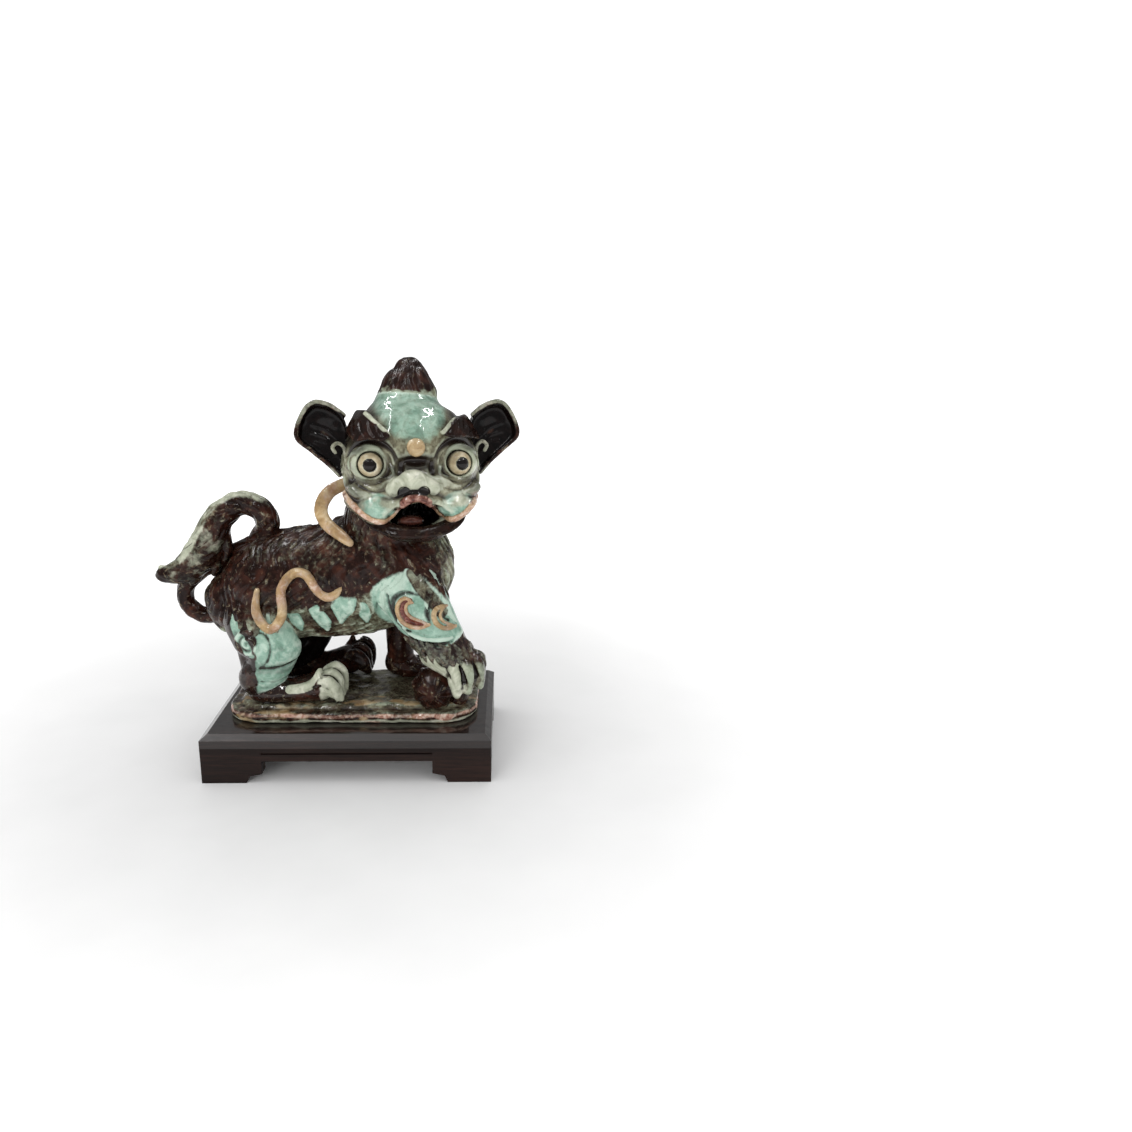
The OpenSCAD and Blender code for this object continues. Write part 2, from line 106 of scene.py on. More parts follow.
class Block:
    """A box of voxels in a frame of its own. Its distance fields are plain arrays of this shape."""

    def __init__(self, place, lo, hi, size):
        self.place = place
        self.size = size
        self.first = np.floor(np.array(lo) / size).astype(int)
        self.shape = tuple(np.ceil(np.array(hi) / size).astype(int) - self.first + 1)
        self.far = BAND * size

    def empty(self):
        return np.full(self.shape, self.far, np.float32)

    def window(self, lo, hi):
        """The part of the block between two corners: its slices, and its x, y and z to broadcast."""
        first = np.floor(np.array(lo) / self.size).astype(int) - self.first
        last = np.ceil(np.array(hi) / self.size).astype(int) - self.first + 1
        first = np.clip(first, 0, self.shape)
        last = np.clip(last, first, self.shape)
        axes = []
        for axis in range(3):
            steps = (np.arange(first[axis], last[axis]) + self.first[axis]) * self.size
            shape = [1, 1, 1]
            shape[axis] = -1
            axes.append(steps.astype(np.float32).reshape(shape))
        return tuple(slice(a, b) for a, b in zip(first, last)), axes

    def whole(self):
        return self.window(self.first * self.size, (self.first + self.shape) * self.size)[1]

    def part(self, field, margin=4.0):
        """A smaller block round what is solid in the field, and its piece of the field."""
        solid = np.argwhere(field < 0)
        pad = int(margin / self.size) + 1
        lo = (solid.min(0) - pad + self.first) * self.size
        hi = (solid.max(0) + pad + self.first) * self.size
        slices, _ = self.window(lo, hi)
        small = Block(self.place, lo, hi, self.size)
        small.first = np.array([s.start for s in slices]) + self.first
        small.shape = field[slices].shape
        return small, field[slices].copy()

    def nodes(self, *names):
        """Signed distances to CAD nodes."""
        field = self.empty()
        for name in names:
            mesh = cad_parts[name].data
            mesh.calc_loop_triangles()
            points = np.empty(len(mesh.vertices) * 3, np.float32)
            mesh.vertices.foreach_get("co", points)
            points = self.place.local(points.reshape(-1, 3)) / self.size
            faces = np.empty(len(mesh.loop_triangles) * 3, np.int32)
            mesh.loop_triangles.foreach_get("vertices", faces)
            grid = openvdb.FloatGrid.createLevelSetFromPolygons(
                points.astype(np.float32),
                triangles=faces.reshape(-1, 3).astype(np.uint32),
                transform=openvdb.createLinearTransform(voxelSize=1.0),
                halfWidth=float(BAND),
            )
            found = np.empty(self.shape, np.float32)
            grid.copyToArray(found, ijk=tuple(int(i) for i in self.first))
            field = np.minimum(field, found * self.size)
        return field

    def sample(self, field, points):
        """The field between voxels."""
        place = points / self.size - self.first
        place = np.clip(place, 0, np.array(self.shape) - 1.001)
        low = place.astype(int)
        share = place - low
        total = np.zeros(len(points))
        for corner in np.ndindex(2, 2, 2):
            weight = np.prod(np.where(corner, share, 1 - share), axis=1)
            at = low + corner
            total += weight * field[at[:, 0], at[:, 1], at[:, 2]]
        return total

    def normals(self, field, points):
        reach = self.size * 1.2
        slope = np.stack(
            [self.sample(field, points + d) - self.sample(field, points - d) for d in np.eye(3) * reach],
            axis=1,
        )
        return slope / (np.linalg.norm(slope, axis=1, keepdims=True) + 1e-9)

    def settle(self, field, points, lift=0.0):
        """Points moved onto the surface, then off it along its normal."""
        points = np.array(points, float)
        for _ in range(6):
            points -= self.normals(field, points) * self.sample(field, points)[:, None]
        return points + self.normals(field, points) * np.reshape(lift, (-1, 1))


# ---- Shaping ----


def melt(a, b, soft):
    """Both solids, with a fillet where they meet."""
    near = np.maximum(soft - np.abs(a - b), 0) / soft
    return np.minimum(a, b) - near * near * soft / 4


def hollow_out(a, b, soft):
    """The first solid without the second."""
    near = np.maximum(soft - np.abs(a + b), 0) / soft
    return np.maximum(a, -b) + near * near * soft / 4


def rod(x, y, z, start, end, r_start, r_end):
    """Distance to a rod between two points whose radius changes along it."""
    dx, dy, dz = end - start
    length = dx * dx + dy * dy + dz * dz + 1e-9
    px, py, pz = x - start[0], y - start[1], z - start[2]
    t = np.clip((px * dx + py * dy + pz * dz) / length, 0, 1)
    away = np.sqrt((px - t * dx) ** 2 + (py - t * dy) ** 2 + (pz - t * dz) ** 2)
    return away - (r_start + t * (r_end - r_start))


def rods(block, points, radii):
    """A field of its own that holds a chain of rods."""
    field = block.empty()
    add_rods(block, field, points, radii)
    return field


def add_rods(block, field, points, radii):
    points = np.asarray(points, float)
    radii = np.broadcast_to(radii, len(points))
    for a, b, ra, rb in zip(points, points[1:], radii, radii[1:]):
        pad = max(ra, rb) + 3 * block.size
        slices, (x, y, z) = block.window(np.minimum(a, b) - pad, np.maximum(a, b) + pad)
        if field[slices].size:
            field[slices] = np.minimum(field[slices], rod(x, y, z, a, b, ra, rb))


def oval(block, field, at, radii, soft=2.0, carve=False):
    """Adds an ellipsoid to a field, or carves it out."""
    at = np.array(at, float)
    radii = np.array(radii, float)
    pad = radii + soft + 2 * block.size
    slices, (x, y, z) = block.window(at - pad, at + pad)
    if not field[slices].size:
        return
    rx, ry, rz = radii
    reach = np.sqrt(((x - at[0]) / rx) ** 2 + ((y - at[1]) / ry) ** 2 + ((z - at[2]) / rz) ** 2)
    shape = (reach - 1) * radii.min()
    join = hollow_out if carve else melt
    field[slices] = join(field[slices], shape.astype(np.float32), soft)


def curve(points, n):
    """A smooth curve of n points through a few points."""
    points = np.array(points, float)
    ends = np.concatenate([points[:1] * 2 - points[1:2], points, points[-1:] * 2 - points[-2:-1]])
    out = []
    for t in np.linspace(0, len(points) - 1.0001, n):
        i = int(t)
        f = t - i
        a, b, c, d = ends[i : i + 4]
        bend = (2 * a - 5 * b + 4 * c - d) * f * f + (3 * b - a - 3 * c + d) * f**3
        out.append(0.5 * (2 * b + (c - a) * f + bend))
    return np.array(out)


def swell(n, first, last):
    """A line's n thicknesses, from 0 to 1 and back, with the very ends cut off."""
    return np.sin(np.pi * np.linspace(first, last, n))


def inside_outline(x, z, outline):
    """Signed distance to a closed outline in the x, z plane, negative inside."""
    outline = np.array(outline, float)
    best = np.full(np.broadcast(x, z).shape, 1e9, np.float32)
    inside = np.zeros(best.shape, bool)
    for a, b in zip(outline, np.roll(outline, -1, axis=0)):
        dx, dz = b - a
        t = np.clip(((x - a[0]) * dx + (z - a[1]) * dz) / (dx * dx + dz * dz), 0, 1)
        best = np.minimum(best, (x - a[0] - t * dx) ** 2 + (z - a[1] - t * dz) ** 2)
        crosses = (a[1] > z) != (b[1] > z)
        inside ^= crosses & (x < a[0] + dx * (z - a[1]) / (dz if dz else 1e-9))
    return np.where(inside, -1, 1) * np.sqrt(best)


def blur(field, sigma):
    """Gaussian blur, sigma in voxels."""
    reach = int(math.ceil(2.5 * sigma))
    weights = np.exp(-0.5 * (np.arange(-reach, reach + 1) / sigma) ** 2)
    weights /= weights.sum()
    for axis in range(3):
        total = field * np.float32(weights[reach])
        for k in range(1, reach + 1):
            w = np.float32(weights[reach + k])
            total += w * (np.roll(field, k, axis) + np.roll(field, -k, axis))
        field = total
    return field


def fill_hollow(field):
    """A shell made solid: what has clay on all six sides of it is inside."""
    solid = field < 0
    shut = np.ones(field.shape, bool)
    for axis in range(3):
        shut &= np.logical_or.accumulate(solid, axis=axis)
        shut &= np.flip(np.logical_or.accumulate(np.flip(solid, axis), axis=axis), axis)
    field[shut & ~solid] = field.min()


def lattice_noise(points, scale, seed):
    """Smooth noise from 0 to 1 at points, about as fine as scale."""
    place = points / scale + seed * 17.3
    low = np.floor(place).astype(np.int64)
    share = place - low
    share = share * share * (3 - 2 * share)
    total = np.zeros(len(points))
    for corner in np.ndindex(2, 2, 2):
        at = low + corner
        mixed = (at[:, 0] * 73856093) ^ (at[:, 1] * 19349663) ^ (at[:, 2] * 83492791) ^ (seed * 2654435761)
        mixed = (mixed ^ (mixed >> 13)) * 1274126177 & 0x7FFFFFFF
        value = ((mixed ^ (mixed >> 16)) & 0xFFFF) / 65535.0
        total += np.prod(np.where(corner, share, 1 - share), axis=1) * value
    return total


def noise(points, scale, seed, octaves=3):
    total = sum(lattice_noise(points, scale / 2**k, seed + k) / 2**k for k in range(octaves))
    return total / sum(1 / 2**k for k in range(octaves))


def softened(block, node, width, depth, scale, seed):
    """A CAD node with its edges softened over a width and its surface worked a little."""
    field = blur(block.nodes(node), width / block.size)
    roughen(block, field, depth, scale, seed)
    return field


def roughen(block, field, depth, scale, seed, octaves=3):
    """Moves the surface in and out a little, as a hand-worked one is."""
    near = np.argwhere(np.abs(field) < 3 * block.size + depth)
    bump = noise((near + block.first) * block.size, scale, seed, octaves)
    field[near[:, 0], near[:, 1], near[:, 2]] -= ((bump - 0.5) * 2 * depth).astype(np.float32)


# ---- Hair: locks that start on a surface and follow a flow over it ----


def scatter(block, field, lo, hi, gap, tries, keep, seed):
    """Points spread over a surface, at least gap apart, where keep says so."""
    rng = np.random.default_rng(seed)
    points = block.settle(field, rng.uniform(lo, hi, (tries, 3)))
    good = (np.abs(block.sample(field, points)) < 0.3) & keep(points)
    chosen = {}
    out = []
    for p in points[good]:
        cell = tuple((p // gap).astype(int))
        around = [chosen.get((cell[0] + i, cell[1] + j, cell[2] + k)) for i in (-1, 0, 1) for j in (-1, 0, 1)
                  for k in (-1, 0, 1)]
        if all(q is None or np.sum((p - q) ** 2) > gap * gap for q in around):
            chosen[cell] = p
            out.append(p)
    return np.array(out)


def comb(block, field, roots, flow, steps, stride):
    """Lines from each root that follow the flow over the surface, as an array (point, lock, axis)."""
    points = roots
    lines = [points]
    for _ in range(steps):
        normal = block.normals(field, points)
        way = flow(points)
        way = way - normal * np.sum(way * normal, axis=1, keepdims=True)
        way /= np.linalg.norm(way, axis=1, keepdims=True) + 1e-9
        points = points + way * stride
        points = points - block.normals(field, points) * block.sample(field, points)[:, None]
        lines.append(points)
    return np.array(lines)


def lay_locks(block, field, skin, lines, thick, lift=0.0, soft=0.7, seed=1):
    """Locks along the lines, thick in the middle and thin at the tip, laid on a piece."""
    rng = np.random.default_rng(seed)
    hair = block.empty()
    count = len(lines) - 1
    t = np.arange(count + 1) / count
    shape = 0.35 + 0.65 * np.sin(np.pi * np.clip(t * 0.85 + 0.15, 0, 1)) ** 0.7
    shape[-1] = 0.25
    for k in range(lines.shape[1]):
        size = thick * rng.uniform(0.75, 1.2)
        line = lines[:, k]
        away = block.normals(skin, line)
        add_rods(block, hair, line + away * (lift - size * 0.25), size * shape)
    return melt(field, hair, soft)


# ---- From voxels to painted pieces ----
finishes = {}
DEEP = 4.5  # how wide a hollow is darkened with painted shade, on top of the glaze's own pooling, mm
SPECK = 10.0  # cubic millimetres under which a loose shell is left out


def cavities(block, field):
    """How far each voxel's surface is pressed in (+) or stands out (-), in millimetres."""
    return field - blur(field, 1.6 / block.size)


def true_shells(points, quads, size):
    """A voxel mesh in millimetres, without its specks of clay and its shut-in hollows."""
    points = points * size
    shell = np.arange(len(points))
    while True:
        lowest = shell.copy()
        np.minimum.at(lowest, quads, shell[quads].min(axis=1)[:, None])
        lowest = lowest[lowest]
        if np.array_equal(lowest, shell):
            break
        shell = lowest
    a, b, c, d = (points[quads[:, i]] for i in range(4))
    volume = np.sum(np.cross(a, b) * c + np.cross(a, c) * d, axis=1) / 6
    shell = shell[quads[:, 0]]
    whole = np.bincount(shell, volume, len(points)) > SPECK
    quads = quads[whole[shell]]
    used, at = np.unique(quads, return_inverse=True)
    return points[used], at.reshape(quads.shape)


def piece(name, block, field, slot, paint, body="figure"):
    """Meshes a field, paints it and puts it in place of its CAD nodes."""
    nodes = nodes_of(name)
    block, field = block.part(field)
    far = 4 * block.size
    grid = openvdb.FloatGrid(far)
    grid.copyFromArray(np.clip(field, -far, far), ijk=tuple(int(i) for i in block.first))
    local, quads = true_shells(*grid.convertToQuads(0.0), block.size)
    mesh = bpy.data.meshes.new(name)
    mesh.vertices.add(len(local))
    mesh.vertices.foreach_set("co", block.place.world(local).astype(np.float32).ravel())
    mesh.loops.add(quads.size)
    mesh.loops.foreach_set("vertex_index", quads.astype(np.int32).ravel())
    mesh.polygons.add(len(quads))
    mesh.polygons.foreach_set("loop_start", np.arange(0, quads.size, 4, dtype=np.int32))
    mesh.update(calc_edges=True)
    mesh.validate()
    mesh.shade_smooth()
    pressed = block.sample(cavities(block, field), local)
    # How far each point sits in a wider hollow, where the glazes paint shade.
    deep = block.sample(field - blur(field, DEEP / block.size), local)
    layers = {"pressed": np.clip(pressed, -1, 1), "deep": np.clip(deep, -3, 3)}
    layers.update(paint(local, pressed))
    for layer, values in layers.items():
        attribute = mesh.attributes.new(layer, "FLOAT", "POINT")
        attribute.data.foreach_set("value", np.asarray(values, np.float32))
    thing = bpy.data.objects.new(name, mesh)
    bpy.context.scene.collection.objects.link(thing)
    mesh.materials.append(finishes[slot])
    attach(thing, body)
    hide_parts(*nodes)
    print(name, len(quads) * 2, "triangles")


def step(low, high, values):
    t = np.clip((values - low) / (high - low), 0, 1)
    return t * t * (3 - 2 * t)


# ---- Finishes ----

COATS = {"brown": 0.12, "aqua": 0.6, "cream": 0.4, "pale": 0.7, "rust": 0.3}  # how glossy each glaze is
BOARD_COAT = 1.0
APRON_COAT = 0.1
GLAZE_SPECULAR = 0.12
WOOD_SPECULAR = 0.15


def rgb(code):
    """A hex colour as the linear colour that nodes want."""
    values = [int(code[i : i + 2], 16) / 255 for i in (1, 3, 5)]
    return [v / 12.92 if v <= 0.04045 else ((v + 0.055) / 1.055) ** 2.4 for v in values] + [1.0]


class Shader:
    """A node material being built, in millimetres of the object's own space."""

    def __init__(self, name):
        self.material = bpy.data.materials.new(name)
        self.material.use_nodes = True
        self.tree = self.material.node_tree
        self.bsdf = self.tree.nodes["Principled BSDF"]
        self.space = self.tree.nodes.new("ShaderNodeTexCoord").outputs["Object"]

    def put(self, socket, value):
        if isinstance(value, bpy.types.NodeSocket):
            self.tree.links.new(value, socket)
        elif value is not None:
            socket.default_value = value

    def stretched(self, scale):
        node = self.tree.nodes.new("ShaderNodeMapping")
        self.put(node.inputs["Vector"], self.space)
        node.inputs["Scale"].default_value = scale
        return node.outputs["Vector"]

    def noise(self, size, detail=4.0, rough=0.55, warp=0.0, space=None):
        """Noise whose features are about size millimetres across."""
        node = self.tree.nodes.new("ShaderNodeTexNoise")
        self.put(node.inputs["Vector"], space or self.space)
        node.inputs["Scale"].default_value = 1 / (size * MM)
        node.inputs["Detail"].default_value = detail
        node.inputs["Roughness"].default_value = rough
        node.inputs["Distortion"].default_value = warp
        return node.outputs["Fac"]

    def cracks(self, size):
        """Distance to the nearest line of a net of cracks."""
        node = self.tree.nodes.new("ShaderNodeTexVoronoi")
        node.feature = "DISTANCE_TO_EDGE"
        self.put(node.inputs["Vector"], self.space)
        node.inputs["Scale"].default_value = 1 / (size * MM)
        return node.outputs["Distance"]

    def layer(self, name):
        node = self.tree.nodes.new("ShaderNodeAttribute")
        node.attribute_name = name
        return node.outputs["Fac"]

    def math(self, kind, a, b=None, clamp=False):
        node = self.tree.nodes.new("ShaderNodeMath")
        node.operation = kind
        node.use_clamp = clamp
        self.put(node.inputs[0], a)
        self.put(node.inputs[1], b)
        return node.outputs[0]

    def span(self, value, low, high, to_low=0.0, to_high=1.0):
        node = self.tree.nodes.new("ShaderNodeMapRange")
        node.interpolation_type = "SMOOTHSTEP"
        for socket, v in zip(node.inputs, (value, low, high, to_low, to_high)):
            self.put(socket, v)
        return node.outputs["Result"]

    def ramp(self, value, *stops):
        node = self.tree.nodes.new("ShaderNodeValToRGB")
        self.put(node.inputs["Fac"], value)
        elements = node.color_ramp.elements
        while len(elements) < len(stops):
            elements.new(0.5)
        for element, (at, colour) in zip(elements, stops):
            element.position = at
            element.color = rgb(colour)
        return node.outputs["Color"]

    def mix(self, share, a, b):
        node = self.tree.nodes.new("ShaderNodeMix")
        node.data_type = "RGBA"
        self.put(node.inputs[0], share)
        self.put(node.inputs[6], a)
        self.put(node.inputs[7], b)
        return node.outputs[2]

    def bump(self, height, strength, distance):
        node = self.tree.nodes.new("ShaderNodeBump")
        self.put(node.inputs["Height"], height)
        node.inputs["Strength"].default_value = strength
        node.inputs["Distance"].default_value = distance * MM
        self.put(self.bsdf.inputs["Normal"], node.outputs["Normal"])

    def finish(self, colour, roughness, coat=0.0, coat_roughness=0.1):
        self.put(self.bsdf.inputs["Base Color"], colour)
        self.put(self.bsdf.inputs["Roughness"], roughness)
        self.bsdf.inputs["Coat Weight"].default_value = coat
        self.bsdf.inputs["Coat Roughness"].default_value = coat_roughness
        return self.material


def glaze(name, coat):
    """Streaky coloured glazes over a manganese brown ground. Painted layers say which lies where, and where
    shade and highlights are painted.
    """
    s = Shader(name)
    broad = s.noise(9, 5, 0.6, 0.6)
    mottle = s.noise(3.2, 5, 0.6, 0.8)
    fine = s.noise(0.9, 3, 0.6)
    pressed = s.layer("pressed")
    uneven = s.math("MULTIPLY", s.math("SUBTRACT", mottle, 0.5), 0.35)
    # The glaze pools darker in small hollows; across wider hollows the darkening is painted shade.
    sunk = s.span(s.math("ADD", pressed, uneven), 0.0, 0.38)
    pooled_and_shaded = s.span(s.math("ADD", s.layer("deep"), s.math("MULTIPLY", uneven, 3.0)), 0.25, 1.7, 0.0, 0.9)
    sunk = s.math("MAXIMUM", sunk, pooled_and_shaded)
    proud = s.math("SUBTRACT", s.math("MULTIPLY", mottle, 0.55), pressed)

    def coverage(layer, fuzz=0.7, sharp=0.09):
        """A painted layer with the ragged edge that a brushed glaze has."""
        ragged = s.math("ADD", s.layer(layer), s.math("MULTIPLY", s.math("SUBTRACT", mottle, 0.5), fuzz))
        return s.span(ragged, 0.5 - sharp, 0.5 + sharp)

    brown = s.ramp(broad, (0.3, "#100604"), (0.48, "#200f0a"), (0.62, "#381c13"), (0.78, "#583323"))
    # Pale flecks along raised streaks of the locks: partly paler glaze on the ridges, partly painted
    # highlight.
    patches_and_sheen = s.ramp(mottle, (0.35, "#5f4131"), (0.5, "#7a6b54"), (0.65, "#a5a28c"))
    streaks = s.noise(5, 4, 0.6, 1.5)
    pale_ridges_and_highlight = s.math("MULTIPLY", s.span(proud, 0.38, 0.62), s.span(streaks, 0.53, 0.68, 0.0, 0.6))
    colour = s.mix(pale_ridges_and_highlight, brown, patches_and_sheen)

    olive = s.ramp(s.math("ADD", s.math("MULTIPLY", broad, 0.6), s.math("MULTIPLY", mottle, 0.4)),
                   (0.33, "#3f3a28"), (0.45, "#676350"), (0.57, "#8b8a71"), (0.7, "#b2b59c"))
    olive = s.mix(s.span(proud, 0.4, 0.75, 0.0, 0.7), olive, rgb("#b4c0a8"))
    colour = s.mix(coverage("olive", 0.6, 0.3), colour, s.mix(sunk, olive, rgb("#170e0a")))

    aqua = s.ramp(broad, (0.28, "#5b786a"), (0.44, "#7fa290"), (0.6, "#9ebdac"), (0.76, "#c3d6c7"))
    dapple = s.span(fine, 0.56, 0.72, 0.0, 0.3)
    aqua = s.mix(dapple, aqua, rgb("#678474"))
    aqua = s.mix(s.span(proud, 0.36, 0.62, 0.0, 0.6), aqua, rgb("#cfe0d1"))
    aqua = s.mix(sunk, aqua, rgb("#24271c"))
    colour = s.mix(coverage("aqua", 0.6, 0.28), colour, aqua)

    pale = s.ramp(broad, (0.3, "#8b8f7b"), (0.5, "#b2b6a1"), (0.7, "#dcdccb"))
    pale = s.mix(s.span(mottle, 0.6, 0.75, 0.0, 0.55), pale, rgb("#5f5f48"))
    colour = s.mix(coverage("pale", 0.5, 0.3), colour, s.mix(sunk, pale, rgb("#231c14")))

    rust = s.ramp(mottle, (0.3, "#3d1a15"), (0.5, "#6d362c"), (0.7, "#a97464"))
    colour = s.mix(coverage("rust", 0.7, 0.25), colour, rust)

    cream = s.ramp(broad, (0.3, "#8a6c48"), (0.5, "#b3966c"), (0.7, "#dac6a2"))
    cream = s.mix(s.span(mottle, 0.56, 0.78, 0.0, 0.6), cream, rgb("#6d5236"))
    colour = s.mix(coverage("cream", 0.3, 0.3), colour, s.mix(sunk, cream, rgb("#47301d")))

    blush = s.ramp(mottle, (0.35, "#8a5c4e"), (0.5, "#c39c89"), (0.65, "#e6d4c4"))
    colour = s.mix(coverage("blush", 0.5, 0.25), colour, s.mix(sunk, blush, rgb("#43261d")))

    # The dark layer: near-black glaze, and in the mouth gap, the nostrils and under the nose, painted shade.
    colour = s.mix(coverage("dark", 0.4), colour, s.ramp(mottle, (0.35, "#040303"), (0.7, "#150c0b")))
    # Painted shade from the shade layer, with a mottled edge.
    mottled_shade = s.math("ADD", s.layer("shade"), s.math("MULTIPLY", uneven, 1.6))
    colour = s.mix(s.span(mottled_shade, 0.1, 0.95, 0.0, 0.94), colour, rgb("#180f0c"))
    net = s.span(s.cracks(2.6), 0.0, 0.03, 0.12, 0.0)
    colour = s.mix(net, colour, rgb("#241a15"))
    surface = s.math("ADD", s.math("MULTIPLY", mottle, 0.8), s.math("MULTIPLY", fine, 0.3))
    s.bump(surface, 0.45, 0.35)
    s.bsdf.inputs["Specular IOR Level"].default_value = GLAZE_SPECULAR
    return s.finish(colour, s.span(broad, 0.3, 0.75, 0.2, 0.36), coat, 0.04)


def wood(name, along, shine):
    """Near-black stained wood with a satin lacquer, its grain along one axis."""
    s = Shader(name)
    stretch = [1.0, 1.0, 1.0]
    stretch[along] = 0.05
    grain_space = s.stretched(stretch)
    grain = s.noise(1.6, 5, 0.65, 0.3, grain_space)
    broad = s.noise(14, 3, 0.5, 0.4, grain_space)
    pores = s.noise(0.5, 2, 0.5, 0.0, grain_space)
    blend = s.math("ADD", s.math("MULTIPLY", grain, 0.55), s.math("MULTIPLY", broad, 0.45))
    colour = s.ramp(blend, (0.32, "#0e0807"), (0.5, "#1c110e"), (0.66, "#2d1c17"))
    colour = s.mix(s.span(pores, 0.62, 0.7, 0.0, 0.6), colour, rgb("#0a0606"))
    patches_and_sheen = s.noise(5, 4, 0.6)
    s.bump(s.math("ADD", s.math("MULTIPLY", grain, 0.6), s.math("MULTIPLY", pores, -0.4)), 0.35, 0.15)
    s.bsdf.inputs["Specular IOR Level"].default_value = WOOD_SPECULAR
    return s.finish(colour, s.span(patches_and_sheen, 0.3, 0.75, 0.3, 0.45), shine, 0.06)


for colour_name, coat_weight in COATS.items():
    finishes["glaze_" + colour_name] = glaze("glaze_" + colour_name, coat_weight)


# ---- Camera, light and floor ----

ROOM_SEEN = 1.1  # how bright the white room is to the camera
ROOM_LIGHT = 0.86  # how much light it gives
ROOM_IN_GLAZE = 0.34  # how bright it shows in the glaze
STRIP_WATTS = 11.0


def camera():
    """Where the picture is taken from: in front of the stand's right half, a little above the head."""
    stand_x = BODY.origin[0]
    at = np.array([stand_x + 96, -572, 290]) * MM
    pitch, yaw, roll = 0.282, 0.066, 0.028
    ahead = Vector((math.sin(yaw) * math.cos(pitch), math.cos(yaw) * math.cos(pitch), -math.sin(pitch)))
    across = ahead.cross(Vector((0, 0, 1))).normalized()
    up = across.cross(ahead)
    right = math.cos(roll) * across + math.sin(roll) * up
    up = -math.sin(roll) * across + math.cos(roll) * up
    data = bpy.data.cameras.new("camera")
    data.sensor_width = 36
    data.lens = 29.6
    data.clip_start = 0.01
    thing = bpy.data.objects.new("camera", data)
    bpy.context.scene.collection.objects.link(thing)
    pose = Matrix((right, up, -ahead)).transposed().to_4x4()
    pose.translation = Vector(at)
    thing.matrix_world = pose
    bpy.context.scene.camera = thing


def lamp(name, at, target, width, height, watts):
    data = bpy.data.lights.new(name, "AREA")
    data.shape = "RECTANGLE"
    data.size = width
    data.size_y = height
    data.energy = watts
    thing = bpy.data.objects.new(name, data)
    bpy.context.scene.collection.objects.link(thing)
    way = Vector(target) - Vector(at)
    thing.matrix_world = Matrix.Translation(Vector(at)) @ way.to_track_quat("-Z", "Y").to_matrix().to_4x4()
    return thing


def strip(name, x):
    """A narrow light overhead, from front to back, that shows in the glaze and lights nothing else."""
    thing = lamp(name, (x, -0.3, 1.25), (x, -0.3, 0.0), 0.035, 1.7, STRIP_WATTS)
    thing.visible_diffuse = False


def studio():
    centre = (0.0, 0.0, 0.12)
    lamp("top_softbox", (-0.25, -0.2, 1.3), centre, 0.8, 0.6, 1.4)
    strip("left_strip", -0.52)
    strip("right_strip", 0.58)
    fill = lamp("front_fill", (-0.5, -1.3, 0.5), centre, 0.5, 0.5, 4.5)
    fill.visible_glossy = False
    white_world()
    bpy.context.scene.view_settings.view_transform = "Standard"
    white_floor()


def white_world():
    """A white room that is bright to the camera, softer as light, and dim where it shows in the glaze."""
    world = bpy.data.worlds.new("studio_white")
    bpy.context.scene.world = world
    world.use_nodes = True
    nodes = world.node_tree.nodes
    link = world.node_tree.links.new
    ray = nodes.new("ShaderNodeLightPath")

    def background(strength):
        node = nodes.new("ShaderNodeBackground")
        node.inputs["Color"].default_value = (1, 1, 1, 1)
        node.inputs["Strength"].default_value = strength
        return node.outputs[0]

    def choose(kind, otherwise, this):
        node = nodes.new("ShaderNodeMixShader")
        link(ray.outputs[kind], node.inputs[0])
        link(otherwise, node.inputs[1])
        link(this, node.inputs[2])
        return node.outputs[0]

    light = choose("Is Glossy Ray", background(ROOM_LIGHT), background(ROOM_IN_GLAZE))
    view = choose("Is Camera Ray", light, background(ROOM_SEEN))
    link(view, nodes["World Output"].inputs["Surface"])


def white_floor():
    """A pale floor that glows more and more away from the object, painted light that makes it fade into the
    white room.
    """
    mesh = bpy.data.meshes.new("floor")
    reach = 3.0
    corners = [(-reach, -reach, 0), (reach, -reach, 0), (reach, reach, 0), (-reach, reach, 0)]
    mesh.from_pydata(corners, [], [(0, 1, 2, 3)])
    floor = bpy.data.objects.new("floor", mesh)
    bpy.context.scene.collection.objects.link(floor)
    s = Shader("floor_white")
    tone = s.ramp(s.noise(60, 3, 0.5), (0.3, "#f2f2f2"), (0.7, "#f7f7f7"))
    length = s.tree.nodes.new("ShaderNodeVectorMath")
    length.operation = "LENGTH"
    s.put(length.inputs[0], s.space)
    # Painted light: the floor glows, not at all near the object and up to 0.6 further out.
    s.bsdf.inputs["Emission Color"].default_value = (1, 1, 1, 1)
    s.put(s.bsdf.inputs["Emission Strength"], s.span(length.outputs["Value"], 0.1, 0.6, 0.0, 0.6))
    mesh.materials.append(s.finish(tone, 0.6))


camera()
studio()


# ---- The body: torso, legs, paws and tail, luted into one skin ----

BODY_PIECES = ("torso", "right_foreleg", "right_forepaw", "left_foreleg", "left_forepaw", "right_hind_leg",
               "right_hind_paw", "left_hind_leg", "left_hind_paw", "tail_stem", "tail_plume")
SIDES = {-1: "right", 1: "left"}


def block_round(place, names, margin, size):
    """A block of voxels round some pieces, with a margin."""
    corners = []
    for name in names:
        for node in nodes_of(name):
            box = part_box(node)
            corners += [[box[i][0], box[j][1], box[k][2]] for i, j, k in np.ndindex(2, 2, 2)]
    corners = place.local(np.array(corners))
    return Block(place, corners.min(0) - margin, corners.max(0) + margin, size)


def luted(block, names, soft, blend, wide):
    """Each piece's field, softened and with fillets where it meets the others, and the skin of all."""
    fields = {}
    for name in names:
        field = block.nodes(*nodes_of(name))
        if name in HALVES:
            fill_hollow(field)
        fields[name] = blur(field, soft / block.size)
    lowest = np.minimum.reduce(list(fields.values()))
    skin = None
    for name, field in fields.items():
        skin = field.copy() if skin is None else melt(skin, field, wide.get(name, blend))
    fillet = skin - lowest
    for name in fields:
        fields[name] += fillet
    return fields, skin


